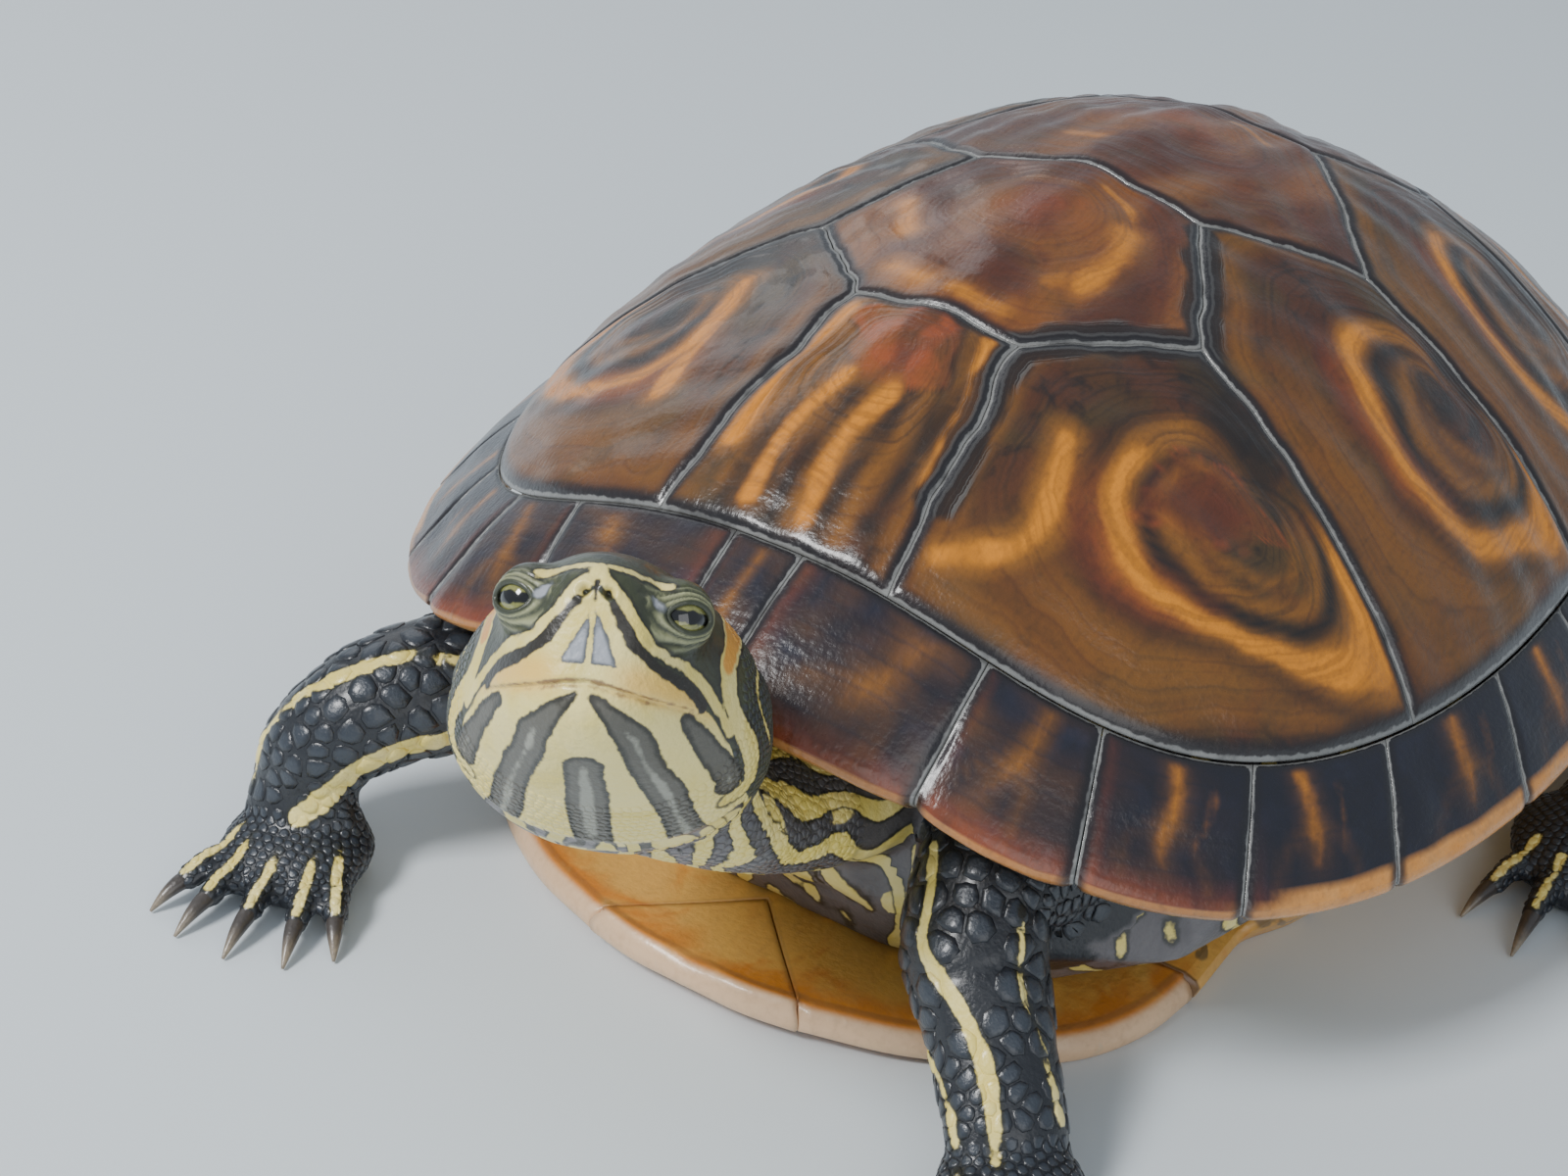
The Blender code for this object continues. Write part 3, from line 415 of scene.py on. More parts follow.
def waves(points, size, seed):
    """A smooth field between about -1 and 1 that changes over the size given in mm."""
    draw = random.Random(seed)
    total = np.zeros(len(points))
    for _ in range(6):
        way = np.array([draw.gauss(0, 1) for _ in range(points.shape[1])])
        way /= np.linalg.norm(way)
        total += np.sin(points @ way * (2 * math.pi / size) * draw.uniform(0.6, 1.5) + draw.uniform(0, 6.3))
    return total / 3.0


# ---------------------------------------------------------------- the carapace's surface

def power_sum(a, b, power_):
    """1 on the rounded rectangle that the power gives, less inside it."""
    return np.abs(a) ** power_ + np.abs(b) ** power_


def direction(x, y):
    """-1 at the front, 0 at the sides, 1 at the rear of the outline; and the share of the way to the rim."""
    along = y / HALF_LENGTH
    outward = power_sum(x / HALF_WIDTH, along, OUTLINE_POWER) ** (1 / OUTLINE_POWER)
    return along / np.maximum(outward, 1e-6), outward


def between(values, along):
    far = np.where(along < 0, values["front"], values["rear"])
    power = np.where(along < 0, FRONT_POWER, REAR_POWER)
    return values["side"] + (far - values["side"]) * np.abs(along) ** power


def rim_point(degrees, outward=1.0):
    """(x, y) on the outline, or inside it, at an angle from the front towards the left."""
    turn = np.radians(degrees)
    x, y = np.sin(turn), -np.cos(turn)
    radius = power_sum(x / HALF_WIDTH, y / HALF_LENGTH, OUTLINE_POWER) ** (-1 / OUTLINE_POWER)
    return radius * outward * x, radius * outward * y


def seam_share(degrees):
    x, y = rim_point(degrees)
    far = np.where(y < 0, SEAM_SHARE["front"], SEAM_SHARE["rear"])
    return SEAM_SHARE["side"] + (far - SEAM_SHARE["side"]) * np.abs(direction(x, y)[0]) ** SEAM_POWER


def seam_point(degrees):
    return rim_point(degrees, seam_share(degrees))


def dome(x, y):
    """Height of the carapace over a point inside the marginal seam."""
    along, outward = direction(x, y)
    degrees = np.degrees(np.arctan2(x, -y))
    inward = np.minimum(outward / seam_share(degrees), 1.0)
    seam_z = between(SEAM_Z, along)
    height = seam_z + (APEX_Z - seam_z) * (1 - inward ** between(DOME_POWER, along)) ** DOME_ROUNDNESS
    return height + KEEL_HEIGHT * bump(x, KEEL_WIDTH) * (1 - inward ** 4)


def into_shell(points):
    """Unit directions into the shell from points on the dome."""
    aim = np.column_stack((DOME_FOCUS_SHARE * points[:, :2], np.full(len(points), DOME_FOCUS_Z)))
    way = aim - points
    return way / lengths(way)[:, None]


def raised(plan):
    return np.column_stack((plan, dome(*plan.T)))


SEAM_STEP, LOBE_STEP = 0.7, 1.6


def line_points(start, end, step=SEAM_STEP):
    pieces = max(2, math.ceil(math.dist(start, end) / step))
    t = np.arange(pieces)[:, None] / pieces
    return np.asarray(start) + (np.asarray(end) - np.asarray(start)) * t


def seam_points(start, end, step=SEAM_STEP):
    size = math.dist(rim_point(start, SEAM_SHARE["rear"]), rim_point(end, SEAM_SHARE["rear"]))
    pieces = max(2, math.ceil(size / step))
    turns = start + (end - start) * np.arange(pieces) / pieces
    return np.column_stack(seam_point(turns))


def vertebral_outline(number):
    if number == 1:
        x, y = VERTEBRAL_CORNERS[0]
        return np.vstack((seam_points(-V1_ANGLE, V1_ANGLE), line_points(seam_point(V1_ANGLE), (x, y)),
                          line_points((x, y), (-x, y)), line_points((-x, y), seam_point(-V1_ANGLE))))
    if number == 5:
        x, y = VERTEBRAL_CORNERS[3]
        turn = 360 - V5_ANGLE
        return np.vstack((line_points((-x, y), (x, y)), line_points((x, y), seam_point(V5_ANGLE)),
                          seam_points(V5_ANGLE, turn), line_points(seam_point(turn), (-x, y))))
    front, rear = VERTEBRAL_CORNERS[number - 2:number]
    hub = COSTAL_HUBS[number - 2]
    corners = [(-front[0], front[1]), front, hub, rear, (-rear[0], rear[1]), (-hub[0], hub[1])]
    return np.vstack([line_points(corner, corners[(k + 1) % 6]) for k, corner in enumerate(corners)])


def costal_outline(number):
    """The left costal of that number."""
    feet = (V1_ANGLE, *COSTAL_FEET, V5_ANGLE)
    start, end = feet[number - 1], feet[number]
    front = seam_point(start) if number == 1 else COSTAL_HUBS[number - 2]
    rear = seam_point(end) if number == 4 else COSTAL_HUBS[number - 1]
    corner = VERTEBRAL_CORNERS[number - 1]
    parts = [] if number == 1 else [line_points(front, seam_point(start))]
    parts.append(seam_points(start, end))
    if number != 4:
        parts.append(line_points(seam_point(end), rear))
    return np.vstack([*parts, line_points(rear, corner), line_points(corner, front)])


WANDERS = ((17.0, 0.8, 3), (5.5, 0.28, 5))  # size in mm, share of the amount, seed


def wandered(plan, amount):
    """Moves points of the dome a little, by one rule for all plates, so that their seams stay shared."""
    degrees = np.degrees(np.arctan2(plan[:, 0], -plan[:, 1]))
    inside = 1 - np.clip(direction(plan[:, 0], plan[:, 1])[1] / seam_share(degrees), 0.0, 1.0)
    held = ramp(0.0, 0.12, inside)[:, None]
    stray = sum(np.column_stack((waves(plan, size, seed), waves(plan, size, seed + 1))) * part
                for size, part, seed in WANDERS)
    return plan + stray * amount / MM * held


# Middle of each plate's oldest part, in plan, for the left side: growth rings close in on it.
VERTEBRAL_AREOLAE = {1: (0.0, -56.0), 2: (0.0, -25.0), 3: (0.0, 12.0), 4: (0.0, 50.0), 5: (0.0, 74.0)}
COSTAL_AREOLAE = {1: (36.5, -49.5), 2: (47.0, -6.0), 3: (43.0, 28.0), 4: (34.0, 57.0)}
RINGS, RINGS_POWER, DROP_WIDTH = 34, 1.45, 0.55
GROWTH_HEIGHT, GROWTH_TURNS, CROWN_HEIGHT, SOFTENING_ROUNDS = 0.045, 52.0, 0.14, 60


def dome_plate(name, outline, areola, shell, finish):
    """A plate of the dome from its plan outline, with growth rings round its areola."""
    edge = wandered(outline, shell.wander)
    areola = np.asarray(areola, float)
    out = edge - areola
    edge = areola + out * (1 - shell.seam_gap / MM / lengths(out)[:, None])
    shares = (np.arange(RINGS) / RINGS) ** RINGS_POWER
    plan = np.vstack([edge + (areola - edge) * t for t in shares] + [areola[None]])
    border, _ = to_line(plan, np.vstack((edge, edge[:1])))
    ring = round_rings(plan, edge, areola)
    drop = shell.seam_depth / MM * bump(border, DROP_WIDTH)
    swell = waves(plan, 9.0, len(name)) * shell.relief / MM * ramp(0.0, 3.0, border)
    growth = GROWTH_HEIGHT * np.sin(ring * GROWTH_TURNS)
    growth *= ramp(0.05, 0.15, ring) * (1 - ramp(0.6, 0.7, ring))
    crown = ramp(0.66, 0.74, ring) * CROWN_HEIGHT + growth
    top = raised(plan)
    top -= into_shell(top) * (swell + crown * 0.8 - drop)[:, None]
    below = np.vstack([raised(edge + (areola - edge) * t) for t in (0.0, 0.35, 0.7)] + [raised(areola[None])])
    points = np.vstack((top, below + into_shell(below) * PLATE))
    across, first_under = len(edge), len(top)
    faces = grid_faces(RINGS, across) + fan_faces((RINGS - 1) * across, across, RINGS * across)
    faces += [(k, first_under + k, first_under + (k + 1) % across, (k + 1) % across) for k in range(across)]
    faces += [tuple(reversed(face)) for face in grid_faces(3, across, first=first_under)]
    faces += fan_faces(first_under + 2 * across, across, len(points) - 1, flip=True)
    fields = {key: np.concatenate((values, np.zeros(len(below))))
              for key, values in dome_marks(name, plan, ring, border, areola).items()}
    made = mesh_piece("horn_" + name, points, faces, finish, fields)
    close_up(made, 0.0)
    return made


def band(value, middle, width, soft):
    """1 within width of the middle, falling to 0 over soft."""
    return 1 - ramp(width - soft, width + soft, np.abs(value - middle))


def round_rings(plan, edge, areola):
    """0 on a plate's edge and 1 on its areola, as growth rings run: their corners round off inwards."""
    out = edge - areola
    order = np.argsort(np.arctan2(out[:, 1], out[:, 0]))
    turns = np.arctan2(out[:, 1], out[:, 0])[order]
    all_round = np.radians(np.arange(0, 360, 3)) - math.pi
    reach = np.interp(all_round, turns, lengths(out)[order], period=2 * math.pi)
    soft = reach.copy()
    for _ in range(SOFTENING_ROUNDS):
        soft = 0.5 * soft + 0.25 * (np.roll(soft, 1) + np.roll(soft, -1))
    away = plan - areola
    gone, turn = lengths(away), np.arctan2(away[:, 1], away[:, 0])
    hard = gone / np.interp(turn, all_round, reach, period=2 * math.pi)
    easy = gone / np.interp(turn, all_round, soft, period=2 * math.pi)
    blend = ramp(0.95, 0.6, hard)
    return 1 - np.clip(hard * (1 - blend) + easy * blend, 0, 1)


# Where a costal's bright band lies between its edge (0) and its areola (1), by the direction from the areola:
# 0 is ahead, 90 outwards.
BAND_TURNS = (-180.0, -90.0, -25.0, 20.0, 60.0, 100.0, 140.0, 180.0)
BAND_RINGS = (0.56, 0.62, 0.58, 0.49, 0.36, 0.17, 0.05, 0.56)
# Stripes on plates of the dome: field, half width, and places in plan, as on the left side.
DOME_STRIPES = {
    "vertebral_1": (
        ("bright", 1.0, ((2.5, -63.5), (1.0, -72.0), (2.5, -80.0))),
        ("bright", 1.4, ((8.5, -51.5), (11.5, -61.0), (13.0, -71.0))),
        ("bright", 0.8, ((-3.5, -63.0), (-5.5, -72.0), (-5.0, -80.0))),
        ("bright", 1.0, ((-9.5, -53.0), (-11.5, -63.0), (-11.0, -74.0))),
        ("dull", 1.6, ((5.5, -62.0), (6.5, -80.0))),
        ("dull", 1.4, ((-8.0, -62.0), (-8.5, -79.0))),
        ("dark", 1.3, ((4.6, -63.0), (4.4, -82.0))),
        ("dark", 1.0, ((-1.0, -65.0), (-1.6, -82.0))),
        ("dark", 1.2, ((9.6, -58.0), (9.4, -78.0))),
    ),
    "vertebral_2": (
        ("bright", 1.2, ((-9.0, -44.5), (-4.0, -46.0))),
        ("bright", 1.0, ((0.0, -46.3), (6.5, -46.5))),
        ("bright", 1.5, ((11.0, -24.0), (12.5, -30.0), (11.5, -37.0))),
        ("bright", 1.1, ((-12.5, -36.0), (-17.0, -28.0))),
    ),
    "costal_left_1": (
        ("bright", 1.0, ((17.5, -77.0), (21.0, -74.0), (24.0, -70.5), (24.0, -65.0), (21.5, -57.0))),
    ),
    "costal_right_1": (("bright", 1.3, ((28.7, -46.3), (26.6, -58.0), (26.0, -67.0))),),
}
# A seam that is worn wide, dark and striated; and the outlines of the oldest parts that show.
WORN_SEAM = ((14.5, -72.0), (12.5, -62.0), (11.0, -50.0), (26.0, -33.0), (17.5, -16.0))
AREOLAE = {
    "vertebral_1": ((-4.5, -62.5), (-9.0, -53.0), (-7.0, -50.8), (5.0, -50.8), (8.0, -60.0), (2.5, -63.5)),
    "costal_left_1": ((30.6, -58.9), (30.4, -47.6), (35.7, -44.8), (44.5, -45.9), (38.9, -54.6)),
}


def side_of(name):
    """1 on the plates of the left and the middle, where the seams are worn wide, and less on the right."""
    return 0.4 if "_right_" in name else 1.0


def in_plan(points, corners):
    """How far inside a convex outline each point is, in mm; below 0 outside it."""
    corners = np.array(corners)
    middle, inside = corners.mean(0), np.full(len(points), np.inf)
    for a, b in zip(corners, np.roll(corners, -1, axis=0)):
        out = np.array((b[1] - a[1], a[0] - b[0])) / math.dist(a, b)
        out *= np.sign((a - middle) @ out)
        inside = np.minimum(inside, (a - points) @ out)
    return inside


def costal_bands(t, turn, number):
    """Fields of a costal's rings, from the ring t and the direction from the areola."""
    lower_front = ramp(-115, -70, turn) * (1 - ramp(112, 150, turn))
    at = np.interp(turn, BAND_TURNS, BAND_RINGS) + 0.01 * number
    wide = 0.050 + 0.055 * ramp(40, 100, turn)
    bright = band(t, at, wide * 0.7, 0.05) * lower_front
    bright *= ramp(-100, -60, turn) * (1 - 0.75 * ramp(85, 115, turn) * ramp(at, at - 0.1, t))
    dark = band(t, at + wide + 0.065, 0.035, 0.035) * lower_front
    dark = np.maximum(dark, band(t, at - wide - 0.07, 0.03, 0.05) * 0.55 * lower_front)
    dull = band(t, at, wide + 0.03, 0.05) + band(t, at + wide + 0.16, 0.045, 0.05) * 0.85 + band(
        t, at + wide + 0.28, 0.03, 0.04) * 0.7
    dull = np.maximum(dull, band(t, 0.25, 0.12, 0.08) * 0.65 * ramp(80, 20, np.abs(turn - 20)))
    dull = np.maximum(dull, band(t, 0.10, 0.05, 0.06) * 0.6 * ramp(-140, -60, turn))
    dark = np.maximum(dark, ramp(0.78, 0.92, t) * 0.9)
    behind = ramp(120, 160, np.abs(turn))
    dark = np.maximum(dark, behind * band(t, 0.3, 0.25, 0.12) * 0.9)
    return bright, dull * (1 - 0.7 * behind), dark


def dome_marks(name, plan, ring, border, areola):
    """Fields that the horn's finish reads: bright and dull orange, red and dark, each from 0 to 1."""
    side = -1.0 if "_right_" in name else 1.0
    local = plan * np.array((side, 1.0))
    out = local - areola * np.array((side, 1.0))
    turn = np.degrees(np.arctan2(out[:, 0], -out[:, 1]))  # 0 ahead, 90 outwards, 180 behind
    own = hash_of(name)
    t = ring + waves(local, 24.0, own) * 0.035 + waves(local, 8.0, own + 1) * 0.010
    number = int(name[-1])
    red = np.zeros(len(t))
    if name.startswith("costal"):
        bright, dull, dark = costal_bands(t, turn, number)
        red = band(t, 0.52, 0.09, 0.07) * ramp(60, 10, np.abs(turn + 10)) * 0.45
        if name in AREOLAE:
            inside = in_plan(local, AREOLAE[name]) + waves(local, 7.0, 22) * 0.4
            red = np.maximum(red, band(inside, 0.0, 0.12, 0.4) * 0.7 + ramp(0.0, 1.0, inside) * 0.25)
            dark = np.maximum(dark, ramp(1.0, 3.0, inside) * 0.8)
    elif name == "vertebral_1":
        drift = waves(np.column_stack((local[:, 0], 0.14 * local[:, 1])), 9.0, 21)
        bright, dull = np.zeros(len(t)), ramp(-0.2, 0.6, drift) * 0.6
        dark = ramp(0.1, 0.9, -drift) * 0.75
        inside = in_plan(local, AREOLAE[name]) + waves(local, 7.0, 22) * 0.8
        red = ramp(-0.5, 0.9, inside) * (0.30 + 0.42 * ramp(-0.5, 0.6, waves(local, 6.0, 23)))
        red *= 1 - 0.7 * band(inside, 0.0, 0.25, 0.4) - 0.5 * band(inside, 1.9, 0.2, 0.5)
        dark *= 1 - ramp(-1.0, 0.5, inside)
        dark = np.maximum(dark, band(inside, 0.0, 0.2, 0.5) * 0.8)
    else:
        drift = waves(np.column_stack((local[:, 0], 0.55 * local[:, 1])), 19.0, 31 + number)
        bright = band(t, 0.42, 0.05, 0.04) * ramp(0.0, 0.8, drift) * 0.55
        dull = np.maximum(ramp(-0.1, 0.7, drift) * 0.6, band(t, 0.62, 0.05, 0.05) * 0.5)
        dark = ramp(0.0, 0.9, -drift) * 0.75
        red = 0.18 + 0.25 * ramp(0.6, 0.9, t)
    fields = {"bright": bright, "dull": dull, "dark": dark}
    for key, half, places in DOME_STRIPES.get(name, ()):
        gap, _ = to_line(local, curve_through(places, 5) if len(places) > 2 else places)
        gap = gap + waves(local, 9.0, own + 2) * 0.35
        soft = 1.9 if name == "vertebral_2" else 1.3
        strength = 0.65 if name == "vertebral_2" else 0.9
        fields[key] = np.maximum(fields[key], strength * ramp(half + soft, half - soft, gap))
        if key == "bright":
            fields["dull"] = np.maximum(fields["dull"], ramp(half + 3.0, half, gap))
    fade = ramp(0.3, 1.6, border)
    gap, _ = to_line(local, WORN_SEAM)
    worn = ramp(2.9, 1.9, gap + waves(local, 6.0, own) * 0.4) * side_of(name)
    return {"ring": t, "border": border, "worn": worn, "bright": np.clip(fields["bright"], 0, 1) * fade,
            "dull": np.clip(fields["dull"], 0, 1) * fade, "dark": np.clip(fields["dark"], 0, 1),
            "red": np.clip(red, 0, 1)}


def hash_of(name):
    """A small number of its own for each piece's name, the same in every run."""
    return sum((k + 1) * ord(letter) for k, letter in enumerate(name)) % 997


# ---------------------------------------------------------------- the rim and the plastron

RIM_GAP = -0.45  # a marginal starts this far inside the seam, so that no gap opens there
RIM_DROP_WIDTH, RIM_RELIEF = 0.6, 0.18
# Where a marginal's bar starts at the seam and ends at the rim, as shares of the way along the plate.
MARGINAL_SPOTS = {1: (0.78, 0.45), 2: (0.66, 0.25), 3: (0.50, 0.47), 4: (0.33, 0.44), 5: (0.5, 0.55)}


def rim_profile(degrees, width, serration):
    """(share of the way out, height) round a marginal's cut; and how far over its upper face each is:
    1 at the rim, more beneath it."""
    x, y = rim_point(degrees)
    along = direction(x, y)[0]
    rim_z, seam_z = between(RIM_Z, along), between(SEAM_Z, along)
    start = seam_share(degrees) + RIM_GAP / HALF_WIDTH
    reach = start + (1.0 + serration / math.hypot(x, y) - start) * width
    middle, under = (start + reach) / 2, start + (0.94 - start) * width
    upper = curve_through(((start, seam_z), (middle, (seam_z + rim_z) / 2 + FLARE), (reach, rim_z)), 8)
    foot = (reach - 0.012, rim_z - 2.4)
    nose = curve_through(((reach, rim_z), (reach + 0.001, rim_z - 1.1), foot), 3)[1:-1]
    lower = curve_through((foot, (under, rim_z - 0.6), (start, rim_z + 2.2)), 5)
    wall = np.linspace((start, rim_z + 2.2), (start, seam_z), 6)[1:-1]
    over = np.concatenate((np.linspace(0, 1, len(upper)), np.full(len(nose), 1.1),
                           np.linspace(1.2, 2.2, len(lower)), np.full(len(wall), 3.0)))
    return np.vstack((upper, nose, lower, wall)), over


# Where a marginal is cut across, in mm from its ends, and how its serration bulges along it.
END_CUTS, INNER_CUTS_FROM, INNER_CUTS = (0.0, 0.12, 0.3, 0.6, 1.0), 1.7, 17
BULGE_AT, BULGE = (0, 0.18, 0.45, 0.8, 1.0), (0.0, 0.6, 1.0, 0.9, 0.1)


def marginal_plate(name, start, end, leans, widths, side, serration, shell, finish):
    trim = math.degrees(shell.seam_gap / MM / HALF_WIDTH)
    start, end = start + trim, end - trim
    size = math.dist(rim_point(start), rim_point(end))
    near_end, inner = np.array(END_CUTS) / size, INNER_CUTS_FROM / size
    cuts = np.concatenate((near_end, np.linspace(inner, 1 - inner, INNER_CUTS), 1 - near_end[::-1]))
    rings, fields = [], []
    for cut in cuts:
        degrees = start + (end - start) * cut
        lean = leans[0] + (leans[1] - leans[0]) * cut
        bulge = np.interp(cut, BULGE_AT, BULGE)
        profile, over = rim_profile(degrees, widths[0] + (widths[1] - widths[0]) * cut, serration * bulge)
        outer = seam_share(degrees) + RIM_GAP / HALF_WIDTH
        turned = degrees - lean * (profile[:, 0] - outer) / (1 - outer)
        x, y = rim_point(turned, profile[:, 0])
        ring = np.column_stack((x, y, profile[:, 1]))
        from_end = min(cut, 1 - cut) * size
        from_seam = lengths(ring - ring[0])
        border = np.where(over < 1.05, np.minimum(from_end, from_seam), from_end)
        drop = shell.seam_depth / MM * bump(border, RIM_DROP_WIDTH) * (over < 2.9)
        swell = RIM_RELIEF * waves(ring, 11.0, hash_of(name)) * ramp(0, 3, border) * (over < 1.05)
        heart = ring.mean(0)
        ring += (heart - ring) / lengths(heart - ring)[:, None] * (drop - swell)[:, None]
        rings.append(ring * np.array((side, 1.0, 1.0)))
        fields.append(np.column_stack((over, border, np.full(len(over), cut))))
    points, fields = np.vstack(rings), np.vstack(fields)
    across = len(rings[0])
    faces = grid_faces(len(rings), across)
    for first, ring in ((0, rings[0]), (len(points) - across, rings[-1])):
        points = np.vstack((points, ring.mean(0)))
        fields = np.vstack((fields, (3.0, 0.0, 0.5)))
        faces += fan_faces(first, across, len(points) - 1)
    marks_ = marginal_marks(name, points, *fields.T)
    made = mesh_piece("horn_" + name, points, faces, finish, marks_)
    close_up(made)
    return made


def marginal_marks(name, points, over, border, cut):
    """Fields of a marginal's finish: orange bars, a red-brown front and the pale edge below the rim."""
    number = 0 if name == "nuchal" else int(name.split("_")[-1])
    start, end = MARGINAL_SPOTS.get(number, (0.5, 0.5))
    spot = start + (end - start) * over + waves(points, 14.0, hash_of(name)) * 0.04
    shown = ramp(0.02, 0.12, over) * ramp(1.0, 0.55, over)
    uneven = 0.5 + 0.5 * waves(points, 7.0, hash_of(name) + 5)
    bar = band(cut, spot, 0.045 - 0.03 * over * uneven, 0.09) * shown
    second = band(cut, spot + 0.26 - 0.08 * over, 0.02, 0.07) * shown * ramp(0.1, 0.3, over)
    second *= 0.5 * (number > 2)
    bright = np.maximum(bar * 0.62, second) * (0.7 + 0.3 * uneven)
    if number < 3:
        bright *= 0.6
    arc = band(np.hypot((cut - spot) * 1.5, over - 0.95), 0.42, 0.05, 0.05) * 0.35
    upper, front = over < 1.06, ramp(-66, -84, points[:, 1])
    red = band(over, 1.02, 0.10, 0.14) * front * 0.65 + band(cut, 0.05, 0.05, 0.06) * front * 0.25
    flank = ramp(-80, -66, points[:, 1] + 3 * uneven)
    cream = band(over, 1.10 - 0.06 * flank, 0.06 + 0.07 * flank, 0.035) * (0.6 + 0.4 * flank)
    dull = arc * upper + band(cut, spot, 0.10, 0.08) * shown * 0.5 + 0.3 * front * uneven * upper
    return {"ring": over * 0.5, "border": border, "bright": np.clip(bright, 0, 1),
            "dull": np.clip(dull, 0, 1),
            "dark": 0.75 * (1 - bar) * upper * (0.55 if number < 3 else 1.0),
            "red": np.clip(red, 0, 1), "cream": cream, "under": ramp(1.12, 1.2, over),
            "rimmed": np.full(len(over), 1.0)}


def lip_rise(y):
    return LIP_RISE * np.maximum(0.0, (LIP_START_Y - y) / LIP_LENGTH) ** 2


# Height over the plate's underside, and how far in from its outline: along the rim, and along a seam.
LOBE_SIDE = ((0.0, 1.4, 0.35), (0.12, 0.75, 0.12), (0.4, 0.35, 0.06), (0.8, 0.16, 0.06), (1.4, 0.12, 0.06),
    (2.0, 0.24, 0.06), (2.9, 0.75, 0.06), (3.5, 1.5, 0.08), (3.85, 2.3, 0.14), (4.0, 3.0, 0.3))
LOBE_FILL = (0.1, 0.22, 0.38, 0.56, 0.76)


def lobe_plate(name, before, rim, after, finish):
    """A flat plastron plate from the left half of its outline, from the midline and back to it."""
    def straight(corners):
        return [(*point, 0.0) for a, b in zip(corners, corners[1:]) for point in line_points(a, b, LOBE_STEP)]

    curve = curve_through(rim, 7)
    half = straight([*before, tuple(curve[0])]) + [(*point, 1.0) for point in curve]
    half += straight([tuple(curve[-1]), *after]) + [(*point, 0.0) for point in after[-1:]]
    kept = half[:1]
    for point in half[1:]:
        if math.dist(point[:2], kept[-1][:2]) > 0.05:
            kept.append(point)
    half = np.array(kept)
    mirror = half[::-1][half[::-1, 0] > 0.01] * np.array((-1.0, 1.0, 1.0))
    outline, eased = np.vstack((half, mirror))[:, :2], np.concatenate((half[:, 2], mirror[:, 2]))
    middle = np.array((0.0, outline[:, 1].mean()))
    out = outline - middle
    reach = lengths(out)

    def ring(height, rim_inset, seam_inset, t=0.0):
        inset = seam_inset + (rim_inset - seam_inset) * eased
        place_ = middle + out * (1 - inset / reach)[:, None] * (1 - t)
        return np.column_stack((place_, lip_rise(place_[:, 1]) + height))

    rings = [ring(*LOBE_SIDE[0], t) for t in reversed(LOBE_FILL)] + [ring(*side) for side in LOBE_SIDE]
    rings += [ring(*LOBE_SIDE[-1], t) for t in LOBE_FILL]
    across, low = len(outline), lip_rise(middle[1])
    points = np.vstack((*rings, (0.0, middle[1], low), (0.0, middle[1], low + PLASTRON)))
    faces = grid_faces(len(rings), across) + fan_faces(0, across, len(points) - 2)
    faces += fan_faces((len(rings) - 1) * across, across, len(points) - 1)
    rim_only = outline[eased > 0.5]
    border, _ = to_line(points[:, :2], np.vstack((outline, outline[:1])))
    turn = np.arctan2(rim_only[:, 0], rim_only[:, 1] * np.sign(middle[1]))
    lip, _ = to_line(points[:, :2], rim_only[np.argsort(turn)])
    inner = ramp(0.4, 0.8, (points[:, 2] - lip_rise(points[:, 1])) / PLASTRON)
    fields = {"border": border, "lip": lip, "inner": inner}
    made = mesh_piece(name, points, faces, finish, fields)
    close_up(made)
    return made


GULAR_APEX = (0.0, GULAR_APEX_Y)
GULAR_SIDE = (GULAR_HALF / 2, (GULAR_APEX_Y + FRONT_LOBE[2][1]) / 2)
# The left half of each lobe plate's outline: the seam to the rim, the rim, and the seam back to the midline.
LOBES = {
    "gular": ([], FRONT_LOBE[:3], [GULAR_SIDE, GULAR_APEX]),
    "humeral": ([GULAR_APEX, GULAR_SIDE], FRONT_LOBE[2:], [(24.0, HUMERAL_Y), (0.0, HUMERAL_Y)]),
    "femoral": ([(0.0, ABDOMINAL_Y), (24.0, ABDOMINAL_Y)], REAR_LOBE[:4], [(20.0, FEMORAL_Y),
        (0.0, FEMORAL_Y)]),
    "anal": ([(0.0, FEMORAL_Y), (20.0, FEMORAL_Y)], REAR_LOBE[3:], []),
}
BELLIES = {"pectoral": (HUMERAL_Y, PECTORAL_Y), "abdominal": (PECTORAL_Y, ABDOMINAL_Y)}


def bridge_share(y):
    into = np.minimum(y - BRIDGE["start"], BRIDGE["end"] - y) / BRIDGE["blend"]
    return ramp(0.0, 1.0, into)


